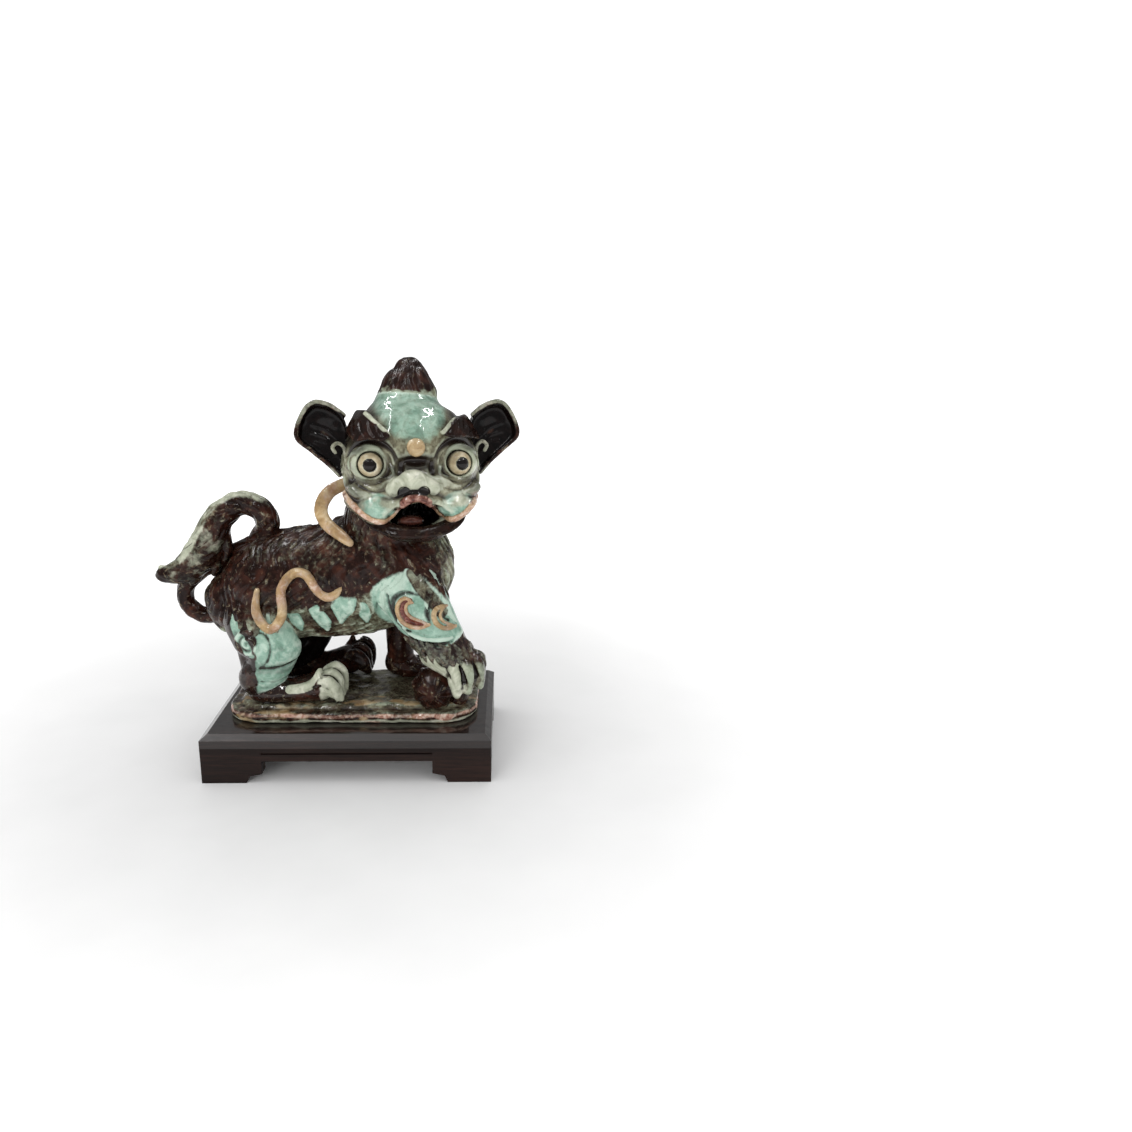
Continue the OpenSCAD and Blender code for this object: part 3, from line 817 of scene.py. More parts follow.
# Where the fur ends along the flank and over the foreleg's sleeve.
FUR_X = [-86, -74, -62, -45, -30, -17, -6, 6, 14, 22, 30, 38, 46, 53, 60, 70]
FUR_Z = [84, 92, 98, 102, 104, 108, 112, 112, 118, 125, 129, 131, 127, 120, 112, 100]


def furry(p):
    ragged = noise(p, 7, 5, 2) * 8 - 4
    return p[:, 2] > np.interp(p[:, 0], FUR_X, FUR_Z) + ragged


def fur_flow(p):
    """Hair falls from the spine down each flank in S-curves, and from the throat down the chest."""
    x, y, z = p.T
    wave = np.sin(z / 5.5 + x / 16.0 + np.sign(y) * 0.6 + 2.5 * (noise(p, 22, 8, 2) - 0.5))
    chest = step(20, 45, x)
    way_x = (-0.6 + 0.9 * wave) * (1 - chest) + (0.1 + 0.45 * wave) * chest
    way_y = np.sign(y) * 0.5 * (1 - chest) + 0.5 * wave * chest
    return np.stack([way_x, way_y, np.full(len(p), -1.0)], axis=1)


LEAVES = [  # the outlines of the aqua leaves on the flank, in x and z
    [(-14, 115), (-12, 108), (-9, 99), (-6, 91), (-2, 97), (3, 102), (5, 110), (5, 118), (-4, 119)],
    [(-27, 108), (-25, 104), (-23, 97), (-19, 90), (-15, 85), (-13, 89), (-12, 94), (-16, 101), (-20, 107)],
    [(-38, 99), (-36, 93), (-31, 85), (-29, 92), (-31, 99)],
    [(7, 108), (6, 98), (10, 92), (13, 99), (13, 107)],
]


def on_flank(block, skin, side, points, n):
    """A smooth line over one flank through a few points given in x and z."""
    line = curve([(x, side * 40, z) for x, z in points], n)
    slope = np.array([0.0, float(side), 0.0])
    for _ in range(12):
        line = line - slope * block.sample(skin, line)[:, None]
    return block.settle(skin, line)


def plate(block, skin, outline, rise, side=0):
    """What lies inside an x, z outline and within rise of the skin, on one side or on the face."""
    out = block.empty()
    lo = (min(p[0] for p in outline) - 3, -50, min(p[1] for p in outline) - 3)
    hi = (max(p[0] for p in outline) + 3, 50, max(p[1] for p in outline) + 3)
    slices, (x, y, z) = block.window(lo, hi)
    near = np.maximum(skin[slices] - rise, -skin[slices] - 3.0)
    facing = 1 - side * y if side else y + 1
    out[slices] = np.maximum(np.maximum(inside_outline(x, z, outline), near), facing)
    return out


def leaves(block, skin):
    field = block.empty()
    for side in SIDES:
        for outline in LEAVES:
            np.minimum(field, plate(block, skin, outline, 1.1, side), out=field)
    return blur(field, 0.6 / block.size)


def spiral(cx, cz, radius, turns, start, n=34):
    """An x, z spiral that closes in on its middle."""
    out = []
    for k in range(n):
        t = k / (n - 1)
        angle = start + t * turns * math.tau
        r = radius * (1 - 0.82 * t)
        out.append((cx + r * math.cos(angle), cz + r * math.sin(angle)))
    return out


def ridge(block, field, skin, line, radii, lift, soft=0.8):
    """A rolled ridge along a line on the skin."""
    away = block.normals(skin, line)
    return melt(field, rods(block, line + away * lift, radii), soft)


def groove(block, field, skin, line, radii, depth, soft=0.8):
    away = block.normals(skin, line)
    radii = np.broadcast_to(radii, len(line))
    return hollow_out(field, rods(block, line + away * (radii - depth)[:, None], radii), soft)


def within(block, field, local, low=0.0, high=0.9):
    """1 at points inside a field, fading to 0 outside it."""
    return 1 - step(low, high, block.sample(field, local))


LAYERS = ("olive", "aqua", "pale", "rust", "cream", "blush", "dark", "shade")


def bare(local, **layers):
    """Painted layers, with the ones not named left out."""
    zero = np.zeros(len(local))
    return {name: layers.get(name, zero) for name in LAYERS}


def shoulder_streak(block, skin):
    """The olive brown streak down the sleeve between the two scrolls."""
    return rods(block, on_flank(block, skin, -1, [(40, 128), (45, 120), (51, 113), (57, 105)], 14), 4.2)


def sculpt_torso(block, fields, skin):
    plates = leaves(block, skin)
    streak = shoulder_streak(block, skin)
    torso = melt(fields["torso"], plates, 0.8)
    lo = np.array([-90, -44, 76])
    hi = np.array([74, 44, 186])
    roots = scatter(block, skin, lo, hi, 4.0, 9000, furry, 7)
    own = block.sample(fields["torso"], roots) < 0.8
    over = block.sample(fields["right_foreleg"], roots) < 0.8
    roots = roots[own | over]
    lines = comb(block, skin, roots, fur_flow, 9, 2.1)
    torso = lay_locks(block, torso, skin, lines, 2.25, -0.1, 0.35, 3)

    def on_torso(p):
        return block.sample(fields["torso"], p) < 0.5

    fringe = scatter(block, skin, [-36, -32, 76], [14, 32, 90], 3.4, 1500, on_torso, 9)
    lines = comb(block, skin, fringe, lambda p: np.array([[-0.8, 0.0, -0.5]]), 5, 1.6)
    torso = lay_locks(block, torso, skin, lines, 1.3, 0.0, 0.5, 4)
    roughen(block, torso, 0.22, 3.0, 11)

    def paint(local, pressed):
        x, y, z = local.T
        edge = np.interp(x, FUR_X, FUR_Z)
        below = step(2, -4, z - edge)
        on_leaf = within(block, plates, local, 0.0, 0.8)
        patchy = step(0.4, 0.6, noise(local, 14, 21))
        chest = step(34, 48, x) * step(-14, -4, -np.abs(y) + 16)
        sleeve = below * within(block, fields["right_foreleg"], local, 2.0, 9.0) * step(-6, -14, y)
        sleeve = sleeve * (1 - within(block, streak, local, -1.5, 1.5))
        drab = np.maximum(below * (0.3 + 0.25 * patchy), chest * (0.35 + 0.3 * patchy))
        return bare(
            local,
            aqua=np.maximum(np.maximum(below * on_leaf, 0.3 * below * patchy), sleeve),
            olive=np.maximum(drab, 0.28 * patchy),
            pale=0.42 * below * step(92, 80, z) * patchy,
        )

    piece("torso", block, torso, "glaze_brown", paint)


SLEEVE_FOLDS = [  # lines that follow the sleeve round the raised foreleg, in x and z
    [(18, 108), (24, 96), (34, 86), (46, 80)],
    [(24, 118), (27, 104), (38, 91), (56, 85)],
    [(44, 90), (52, 84), (60, 82)],
    [(36, 92), (46, 89), (56, 88), (63, 89)],
]
SLEEVE_SHADE = [  # hollows that follow the outside of the two scrolls
    [(43, 116), (35.5, 117.5), (28.5, 113), (27.8, 104), (31, 96), (38, 92.5)],
    [(50.5, 112), (48.6, 106), (50, 99.5)],
]
CRESCENT_OUT = [(40, 111.5), (36, 114.2), (32.3, 112), (30.7, 107), (32.6, 100.5), (36.3, 97.4), (41, 96.2),
                (45.5, 96.5), (50, 98.2)]
CRESCENT_IN = [(40, 111.5), (36.8, 110.8), (35.9, 106.8), (38.7, 102.9), (44.3, 100.6), (50, 98.2)]
CRESCENT_HOLLOW = [(38, 112.3), (34.2, 111), (33.4, 106.8), (36, 101), (41, 98.6), (46, 98.4)]
CURL_OUT = [(59.6, 107.5), (54.8, 108), (52.1, 104.4), (53.8, 98.7), (59, 95), (65, 95)]
CURL_IN = [(59.6, 107.5), (56.8, 105.8), (55.8, 102.9), (57.6, 99.5), (62, 96.8), (65, 95)]


def sculpt_foreleg(block, fields, skin):
    leg = fields["right_foreleg"]
    dips = block.empty()
    for points in SLEEVE_FOLDS:
        line = on_flank(block, skin, -1, points, 18)
        radii = 1.5 * swell(18, 0.12, 0.9)
        leg = ridge(block, leg, skin, line, radii, 0.1, 1.5)
        below = block.settle(skin, line + np.array([0.6, 0.0, -2.6]))
        leg = groove(block, leg, skin, below, radii, 0.9, 1.0)
        add_rods(block, dips, below, 0.8 * radii)
    for points in SLEEVE_SHADE:
        line = on_flank(block, skin, -1, points, 16)
        leg = groove(block, leg, skin, line, 1.4 * swell(16, 0.1, 0.9), 0.8, 1.0)
        add_rods(block, dips, line, 1.6 * swell(16, 0.1, 0.9))
    hollow = on_flank(block, skin, -1, CRESCENT_HOLLOW, 16)
    leg = groove(block, leg, skin, hollow, 1.9 * swell(16, 0.15, 0.85), 1.0)
    cup = on_flank(block, skin, -1, [(60, 105), (58.5, 102), (61, 99.5)], 6)
    leg = groove(block, leg, skin, cup, 2.0, 1.0)
    roughen(block, leg, 0.2, 4.0, 12)

    crescent = rods(block, hollow, 3.0)
    streak = shoulder_streak(block, skin)

    def paint(local, pressed):
        x, y, z = local.T
        cuff = step(2.0, -3.0, z - 86 + 0.25 * (x - 50))
        inner = step(-14, -8, y)
        on_streak = within(block, streak, local, -1.5, 1.5)
        in_dip = within(block, dips, local, -0.3, 1.4)
        return bare(
            local,
            aqua=(1 - cuff) * (1 - inner) * (1 - on_streak),
            olive=0.5 * on_streak,
            rust=within(block, crescent, local, -1.4, -0.4),
            shade=0.8 * (1 - inner) * in_dip * (0.6 + 0.6 * noise(local, 6, 14)),
        )

    piece("right_foreleg", block, leg, "glaze_aqua", paint)

    scroll = block.empty()
    for points, thick in ((CRESCENT_OUT, 1.5), (CRESCENT_IN, 1.15), (CURL_OUT, 1.7), (CURL_IN, 1.1)):
        line = on_flank(block, skin, -1, points, 22)
        ends = swell(22, 0.1, 0.9) ** 0.4
        add_rods(block, scroll, line + block.normals(skin, line) * 0.4 * thick, thick * ends)
    roughen(block, scroll, 0.15, 2.5, 13)
    piece("right_shoulder_scroll", block, scroll, "glaze_cream", all_cream)


def all_cream(local, pressed):
    return bare(
        local,
        cream=np.ones(len(local)),
        blush=0.75 * noise(local, 8, 91),
        shade=0.6 * noise(local, 9, 92) + 0.8 * step(0.0, 0.3, pressed),
    )


def toes(block, field, paths, thick):
    """Rounded toes with a claw at the end of each, and a cleft between neighbours."""
    fatness = np.interp(np.linspace(0, 1, 10), [0, 0.35, 0.8, 1], [0.7, 1.0, 0.82, 0.55])
    for path in paths:
        line = curve(path, 10)
        field = melt(field, rods(block, line, thick * fatness), 0.8)
        way = (line[-1] - line[-2]) / np.linalg.norm(line[-1] - line[-2])
        claw = [line[-1], line[-1] + way * 1.5 + [0, 0, -0.8], line[-1] + way * 2 + [0, 0, -2.2]]
        field = melt(field, rods(block, claw, [thick * 0.45, thick * 0.32, 0.4]), 0.4)
    for one, other in zip(paths, paths[1:]):
        cleft = (curve(one, 10) + curve(other, 10)) / 2 + [0, 0, 0.7]
        field = hollow_out(field, rods(block, cleft, np.linspace(1.0, 1.9, 10)), 0.8)
    return field


def at_wrist(p):
    return np.abs(p[:, 2] - 82.5 + 0.15 * (p[:, 0] - 54)) < 4.5


def cuff_flow(p):
    return np.array([[0.35, 0, -1.0]]) + 0.3 * np.sin(p[:, :1] / 2.5 + p[:, 1:2] / 3)


def sculpt_forepaws(block, fields, skin):
    paw = fields["right_forepaw"]
    paths = [
        [(61, -37, 73), (65, -41, 68), (67, -42.5, 59)],
        [(68, -36, 75), (72.5, -40, 70), (74.5, -41, 62)],
        [(74.5, -33, 76), (79, -36, 71), (81, -37, 65)],
    ]
    paw = toes(block, paw, paths, 3.7)
    roots = scatter(block, skin, [34, -48, 74], [80, -10, 88], 2.8, 1500, at_wrist, 15)
    lines = comb(block, skin, roots, cuff_flow, 5, 1.7)
    cuff = lay_locks(block, block.empty(), skin, lines, 1.4, 0.3, 0.5, 15)
    paw = melt(paw, cuff, 0.5)
    roughen(block, paw, 0.2, 3.0, 16)

    def paint(local, pressed):
        x, y, z = local.T
        fur = within(block, cuff, local, 0.0, 0.6)
        back = step(-18, -12, y)
        reach = step(80, 74, z + 0.15 * (x - 54)) * (1 - fur) * (1 - back)
        tone = noise(local, 9, 31)
        far = step(69, 74, x)
        return bare(
            local,
            pale=reach * (0.9 - 0.75 * far) * step(0.1, 0.5, tone),
            olive=np.maximum(0.35 * fur, reach * (0.35 + 0.5 * tone)),
            shade=np.maximum(0.5 * step(-30, -20, y), 0.75 * step(-0.02, 0.2, pressed)) + 0.25 * far * tone,
        )

    piece("right_forepaw", block, paw, "glaze_pale", paint)

    other = fields["left_forepaw"]
    paths = [[(35, y, 49), (40, y, 49), (44.5, y, 45)] for y in (12.5, 19, 25.5)]
    other = toes(block, other, paths, 3.4)
    roughen(block, other, 0.2, 3.0, 17)
    piece("left_forepaw", block, other, "glaze_brown", dark_paint)

    leg = fields["left_foreleg"]
    roughen(block, leg, 0.3, 4.0, 18)

    def far_leg(local, pressed):
        outer = step(17, 24, local[:, 1]) * step(72, 84, local[:, 2])
        return bare(local, aqua=outer, dark=0.35 * (1 - outer))

    piece("left_foreleg", block, leg, "glaze_brown", far_leg)


def dark_paint(local, pressed):
    return bare(local, dark=0.2 + 0.4 * noise(local, 9, 41))


def sculpt_hind(block, fields, skin, side):
    name = SIDES[side]
    slot = "glaze_aqua" if side < 0 else "glaze_brown"
    shift = 0 if side < 0 else 14
    leg = fields[name + "_hind_leg"]
    curl = on_flank(block, skin, side, spiral(-61, 81, 8.5, 1.6, 1.2), 40)
    leg = ridge(block, leg, skin, curl, 1.5 * np.linspace(1, 0.55, 40), 0.25)
    stem = on_flank(block, skin, side, [(-58, 89), (-50, 88), (-47, 80), (-50, 70), (-58, 64)], 20)
    leg = groove(block, leg, skin, stem, 1.2 * swell(20, 0.1, 0.9), 0.8)
    fold = on_flank(block, skin, side, [(-31 + shift, 70), (-42 + shift / 2, 67), (-54, 66)], 14)
    leg = groove(block, leg, skin, fold, 1.6 * swell(14, 0.15, 0.85), 1.0)
    for drop in (0, 5):
        crease = on_flank(block, skin, side, [(-36, 59 - drop), (-46, 56 - drop), (-55, 57 - drop)], 12)
        leg = groove(block, leg, skin, crease, 0.9, 0.45)
    roughen(block, leg, 0.25, 4.0, 19 + side)
    line = on_flank(block, skin, side, [(-70, 100), (-69, 90), (-64, 83), (-60, 75)], 16)
    pale_streak = rods(block, line, 3.0)

    def leg_paint(local, pressed):
        x, y, z = local.T
        outward = step(8, 14, -y) if side < 0 else step(26, 33, y)
        ragged = 8 * noise(local, 7, 43) - 4
        front = step(-58, -54, x + ragged)
        streak = within(block, pale_streak, local, -0.5, 1.5)
        return bare(
            local,
            aqua=outward * np.maximum(front * step(102, 96, z + ragged), 0.75 * streak),
            olive=outward * (1 - front) * 0.25,
            dark=0.6 * (1 - outward),
            shade=outward * np.maximum(0.8 * step(54, 46, z), 0.5 * step(6, 2, np.abs(z - 66 + ragged / 2))),
        )

    piece(name + "_hind_leg", block, leg, slot, leg_paint)

    paw = fields[name + "_hind_paw"]
    start = -12 if side < 0 else -1
    paths = []
    for k, y in ((0, side * 23 - 8.5), (1.5, side * 23 - 0.5), (3, side * 23 + 7.5)):
        knuckle = [(start - 8 + k, y, 56 + k), (start - 3 + k, y, 57.5 + k)]
        paths.append(knuckle + [(start + 1.5 + k, y, 54 + k), (start + 3 + k, y, 47.5)])
    paw = toes(block, paw, paths, 3.7)
    ankle = curve([(start - 26, side * 28, 50), (start - 18, side * 30, 52), (start - 12, side * 30.5, 55),
                   (start - 9, side * 30, 59), (start - 7, side * 29, 63.5)], 16)
    paw = melt(paw, rods(block, ankle, 2.5 * swell(16, 0.2, 0.75)), 1.0)
    paw = hollow_out(paw, rods(block, ankle + [0, side * 2.6, 0.4], 0.9), 0.6)
    paw = hollow_out(paw, rods(block, ankle[6:] + [4.2, side * 1.5, -0.5], 1.6), 1.0)
    roughen(block, paw, 0.2, 3.0, 23 + side)
    cuff = rods(block, ankle, 2.6)

    def paw_paint(local, pressed):
        toe = step(start - 9, start - 6, local[:, 0] + 3 * noise(local, 4, 44) - 1.5)
        lit = 1.0 if side < 0 else 0.0
        return bare(
            local,
            pale=np.maximum(0.8 * toe, within(block, cuff, local)) * lit,
            olive=0.6 * toe * lit,
            aqua=0.3 * toe * lit,
            dark=np.full(len(local), 0.5 * (1 - lit)),
        )

    piece(name + "_hind_paw", block, paw, "glaze_pale" if side < 0 else slot, paw_paint)


STEM_LINE = [(-76, 4, 98), (-86, 6, 90), (-98, 7, 87), (-108, 8, 94), (-108, 8, 106), (-97, 8, 118),
             (-80, 7, 126), (-64, 6, 134)]
PLUME_LINE = [(-64, 6, 134), (-54, 5, 145), (-56, 4, 157), (-68, 3, 162), (-80, 1, 155), (-87, 0, 143),
              (-95, 0, 129), (-106, 0, 119), (-118, 0, 116)]

FLAMES = [  # tongues of hair that stand off the plume's lower edge, and the curl at its tip
    [(-80, 1, 140), (-78, 0, 132), (-80, -1, 126)],
    [(-89, 0, 128), (-86, -1, 122), (-87, -2, 117)],
    [(-100, 0, 119), (-98.5, -1, 114), (-101, -2, 110.5)],
    [(-110, 0, 118), (-117, -1, 115.5), (-119.5, -1, 121)],
]


def nearest(line, points):
    """For each point, the nearest step of a line, the line's way there, and the offset from it."""
    line = curve(line, 60)
    ways = np.gradient(line, axis=0)
    ways /= np.linalg.norm(ways, axis=1, keepdims=True)
    near = np.argmin(np.sum((points[:, None] - line[None]) ** 2, axis=2), axis=1)
    return near, ways[near], points - line[near]


def along(line):
    """A flow that follows a line through space, a little twisted."""

    def flow(p):
        near, way, out = nearest(line, p)
        turn = np.cross(way, out) / (np.linalg.norm(out, axis=1, keepdims=True) + 1e-6)
        return way + turn * (0.35 + 0.3 * np.sin(near / 3.0))[:, None]

    return flow


def sculpt_tail(block, fields, skin):
    stem = fields["tail_stem"]

    def on_stem(p):
        return (block.sample(fields["tail_stem"], p) < 0.5) & (p[:, 0] < -70)

    roots = scatter(block, skin, [-118, -4, 80], [-60, 16, 140], 4.0, 2200, on_stem, 25)
    lines = comb(block, skin, roots, along(STEM_LINE), 7, 2.0)
    stem = lay_locks(block, stem, skin, lines, 1.3, -0.2, 0.9, 26)
    roughen(block, stem, 0.2, 3.0, 27)

    def stem_paint(local, pressed):
        return bare(local, dark=0.3 * noise(local, 9, 3))

    piece("tail_stem", block, stem, "glaze_brown", stem_paint)
    plume = fields["tail_plume"]

    def on_plume(p):
        return block.sample(fields["tail_plume"], p) < 0.5

    roots = scatter(block, skin, [-124, -14, 112], [-44, 16, 172], 3.6, 3500, on_plume, 28)
    lines = comb(block, skin, roots, along(PLUME_LINE), 8, 2.0)
    plume = lay_locks(block, plume, skin, lines, 1.9, 0.3, 0.5, 29)
    for tongue in FLAMES:
        plume = melt(plume, rods(block, curve(tongue, 12), np.linspace(4.6, 1.5, 12)), 1.5)
    roughen(block, plume, 0.2, 3.0, 30)

    def paint(local, pressed):
        tone = noise(local, 8, 33)
        ripe = step(-70, -84, local[:, 0])
        near, way, out = nearest(PLUME_LINE, local)
        # Painted highlight: a pale aqua sheen along the plume's upper edge, away from its root.
        upper = step(2.5, 6.0, out[:, 0] * way[:, 2] - out[:, 2] * way[:, 0]) * step(10, 20, near)
        return bare(
            local,
            olive=np.maximum((0.05 + 0.4 * tone) * (0.5 + 0.5 * ripe), 0.5 * upper),
            pale=np.maximum(0.4 * ripe * step(0.5, 0.7, tone), 0.7 * upper * step(0.3, 0.7, tone)),
            aqua=0.5 * upper * tone,
            shade=0.3 * noise(local, 6, 34) * (1 - upper),
        )

    piece("tail_plume", block, plume, "glaze_brown", paint)


def sculpt_body():
    block = block_round(BODY, BODY_PIECES, 7, BODY_VOXEL)
    fields, skin = luted(block, BODY_PIECES, 1.1, LUTE, {})
    sculpt_torso(block, fields, skin)
    sculpt_foreleg(block, fields, skin)
    sculpt_forepaws(block, fields, skin)
    for side in SIDES:
        sculpt_hind(block, fields, skin, side)
    sculpt_tail(block, fields, skin)
    for name in SIDES.values():
        node = name + "_side_ribbon"
        field = softened(block, node, 0.7, 0.15, 2.5, 34)
        piece(node, block, field, "glaze_cream", all_cream)


# ---- The head, in its own frame: x to the dog's left, -y out of the face, z up ----

HEAD_PIECES = ("head", "lower_jaw", "nose", "crest_knob", "right_ear", "left_ear")
EYE = (25.5, -21.5, -1.2)
EYE_R = 7.1
NOSE_X = -2.5
LIP = [(-39, -14, -19), (-36, -17, -24), (-32, -22, -28), (-27, -27, -31.5), (-22, -29, -33.5),
       (-17, -31, -32), (-12, -33, -27), (-7, -34, -22.5), (-1, -34.5, -20.5), (5, -34, -22.5),
       (10, -33, -27), (15, -31, -32), (20, -29, -33.5), (25, -27, -31), (30, -21, -27), (35, -15, -22)]
LOWER_LIP = [(-33, -14, -29), (-27, -20, -36), (-18, -26, -40.5), (-9, -29.5, -42), (0, -30.5, -42.5),
             (9, -29.5, -42), (18, -26, -40.5), (26, -20, -36), (31, -14, -29)]
BROWS = {  # each brow's outline, in x and z
    -1: [(-38, 26), (-33, 30.5), (-25, 29.5), (-22, 23.5), (-18, 19.5), (-14, 14.5), (-19, 11.5), (-26, 13),
         (-34, 11.5), (-37, 16)],
    1: [(14.5, 16.5), (20, 21.5), (26, 25), (34, 28), (40.5, 31), (44, 24), (41, 12), (31, 13.5), (22, 13.5),
        (17, 14.5)],
}


def mirrored(points, side):
    return [(side * p[0],) + tuple(p[1:]) for p in points]


def on_face(block, skin, points, n):
    """A smooth line over the face through a few points, slid along y and then settled."""
    line = curve(points, n)
    for _ in range(12):
        line[:, 1] += block.sample(skin, line)
    return block.settle(skin, line)


def sculpt_eyes_and_lids(block, head, skin):
    """The sockets, the lids that point down at the nose, and the bags below. Also gives the creases."""
    creases = block.empty()
    lids = block.empty()
    for side in SIDES:
        x, y, z = side * EYE[0], EYE[1], EYE[2]
        oval(block, head, (x, y - 4, z), (12, 7, 11.5), 2.5, carve=True)
        oval(block, head, (x, y + 2.5, z), (11, 8, 10.2), 2.0)
    skin = head.copy()
    for side in SIDES:
        lid = [(35, -11, -6), (34.5, -12, 3), (28.5, -20, 8), (21.5, -25, 7.4), (16, -27, 2.2),
               (12.5, -28, -6)]
        line = on_face(block, skin, mirrored(lid, side), 26)
        head = ridge(block, head, skin, line, 1.5 * swell(26, 0.2, 0.85) ** 0.6, 0.5, 0.8)
        add_rods(block, lids, line, 1.6)
        under = [(13, -27, -7), (18, -26, -10), (26, -23, -11.5), (34, -17, -8.5)]
        line = on_face(block, skin, mirrored(under, side), 20)
        head = ridge(block, head, skin, line, 1.2 * swell(20, 0.15, 0.85), 0.3, 0.8)
        add_rods(block, lids, line, 1.4)
        crease = [(38, -7, 3), (33, -15, 10), (25.5, -21, 12.6), (18.5, -26, 10.5), (13, -28, 5),
                  (10.5, -29, -3)]
        line = on_face(block, skin, mirrored(crease, side), 26)
        head = groove(block, head, skin, line, 1.7 * swell(26, 0.1, 0.9), 1.4)
        add_rods(block, creases, line, 2.0 * swell(26, 0.08, 0.92))
        bag = [(15, -26, -15), (25, -22, -16.5), (34, -15, -12)]
        line = on_face(block, skin, mirrored(bag, side), 18)
        head = groove(block, head, skin, line, 1.2 * swell(18, 0.1, 0.9), 0.7)
        oval(block, head, (side * EYE[0], EYE[1] - 4, EYE[2]), (7.9, 12, 7.9), 0.6, carve=True)
    return head, creases, lids


def sculpt_muzzle(block, head):
    for side in SIDES:
        oval(block, head, (side * 22.5, -22.5, -25.5), (10.5, 9, 7.5), 3.0)
        cheek = [(side * 39, -6, -9), (side * 37, -11, -14), (side * 33, -17, -17.5), (side * 28, -22, -18)]
        line = on_face(block, head.copy(), cheek, 16)
        head = ridge(block, head, head, line, 2.8 * swell(16, 0.15, 0.9), 0.0, 2.0)
    oval(block, head, (0, -28, -17), (6, 6, 5), 3.0)
    oval(block, head, (0, -29, 0.5), (8, 3.5, 3), 1.5, carve=True)
    for side in SIDES:
        oval(block, head, (side * 9.5, -29, -3), (3, 4, 5), 1.5, carve=True)
    rim = on_face(block, head, LIP, 60)
    rim[:, 2] = curve(LIP, 60)[:, 2]
    lip = rods(block, rim + np.array([0, 0.6, 0.6]), 2.5)
    return melt(head, lip, 1.2), lip


def sculpt_nose(block):
    nose = block.empty()
    oval(block, nose, (NOSE_X, -31.5, -10.3), (8.2, 7.4, 6.4), 1.0)
    for side in SIDES:
        wing = mirrored([(4, -31.5, -11), (8.5, -31, -12.2), (11.2, -30.5, -15)], side)
        nose = melt(nose, rods(block, np.array(wing) + [NOSE_X, 0, 0], [4.4, 4.0, 4.5]), 1.2)
        oval(block, nose, (NOSE_X + side * 5.6, -36, -16.6), (3.2, 7.5, 2.9), 0.6, carve=True)
    oval(block, nose, (NOSE_X, -34, -18.6), (5, 9, 3.2), 1.0, carve=True)
    roughen(block, nose, 0.12, 3.0, 51)

    def paint(local, pressed):
        # Painted shade: the nostrils near-black, and the nose's underside and its back, where it meets the
        # face, darker.
        off = np.abs(np.abs(local[:, 0] - NOSE_X) - 5.6)
        under = step(4.4, 2.9, np.hypot(off, local[:, 2] + 17.2))
        edge = 0.5 * step(-15.5, -18.5, local[:, 2]) + 0.5 * step(-30, -27, local[:, 1])
        shade = np.maximum(0.8 * under, edge)
        return bare(local, pale=0.9 - under, dark=under, olive=0.6 * (1 - under), shade=shade)

    piece("nose", block, nose, "glaze_pale", paint)


def sculpt_brow(block, skin, side):
    """A dark flame-shaped plate over the eye, with a pale lip along its upper edge."""
    field = blur(plate(block, skin, BROWS[side], 3.6), 0.5 / block.size)
    for x0 in (20, 25, 30, 35):
        fold = [(x0 - 2, -28, 15), (x0, -25, 19), (x0 + 0.5, -22, 24)]
        line = on_face(block, field, mirrored(fold, side), 12)
        field = groove(block, field, field, line, 0.9 * swell(12, 0.1, 0.9), 0.5)
    top = [(14.5, -30, 15.5), (19, -28, 20), (23, -26, 24), (27, -23, 28)]
    line = on_face(block, field, mirrored(top, side), 14)
    lip = rods(block, line, 1.1)
    field = melt(field, lip, 0.6)
    roughen(block, field, 0.2, 3.0, 52 + side)
    name = SIDES[side] + "_brow"

    def paint(local, pressed):
        edge = within(block, lip, local, 0.0, 0.7)
        return bare(local, pale=0.75 * edge, shade=(1 - edge) * (0.35 + 0.4 * noise(local, 6, 53)))

    piece(name, block, field, "glaze_brown", paint)


def sculpt_ear(block, fields, side):
    """A cupped leaf: dark inside, a pale rolled rim, and a small curl at its inner foot."""
    name = SIDES[side] + "_ear"
    ear = fields[name]
    edge = [(38, -1, 27), (46, -3, 33), (55, -3, 34.5), (61.5, -2.5, 28), (65.5, -2, 15), (57, -1, 6.5),
            (48, -1, -1.5), (42, -1, -8)]
    rim = curve(mirrored(edge, side), 50)
    oval(block, ear, (side * 49, -3.5, 17), (10.5, 8.5, 12), 1.5, carve=True)
    roll = rods(block, rim + np.array([0, 1.2, 0]), 1.15)
    ear = melt(ear, roll, 1.2)
    for back in (2.4, 3.8):
        ear = melt(ear, rods(block, rim + np.array([0, back, 0]), 1.1), 1.0)
    curl = [(40, -4, -6), (38.5, -5.5, 1), (39, -6, 8), (42.5, -5.5, 11), (45.5, -4.5, 8.5), (44, -4.5, 5.5)]
    foot = rods(block, curve(mirrored(curl, side), 24), 1.15)
    ear = melt(ear, foot, 0.5)
    for bend in (4, 9, 14):
        vein = curve(mirrored([(41, 3.5, bend - 2), (49, 5, bend + 5), (57, 3, bend + 8)], side), 12)
        ear = melt(ear, rods(block, vein, 0.8 * swell(12, 0.1, 0.9)), 0.8)
    roughen(block, ear, 0.2, 3.0, 54)

    def paint(local, pressed):
        edge = np.maximum(within(block, roll, local, 0.0, 0.5), within(block, foot, local, 0.0, 0.5))
        x, y, z = local.T
        back = step(3.5, 6.0, y)
        lit = np.clip(step(16, 26, z + 10 * noise(local, 8, 55) - 5) + step(50, 46, np.abs(x)), 0, 1)
        return bare(local, pale=0.5 * edge * lit, dark=(1 - edge) * (1 - back), olive=0.5 * back)

    piece(name, block, ear, "glaze_brown", paint)


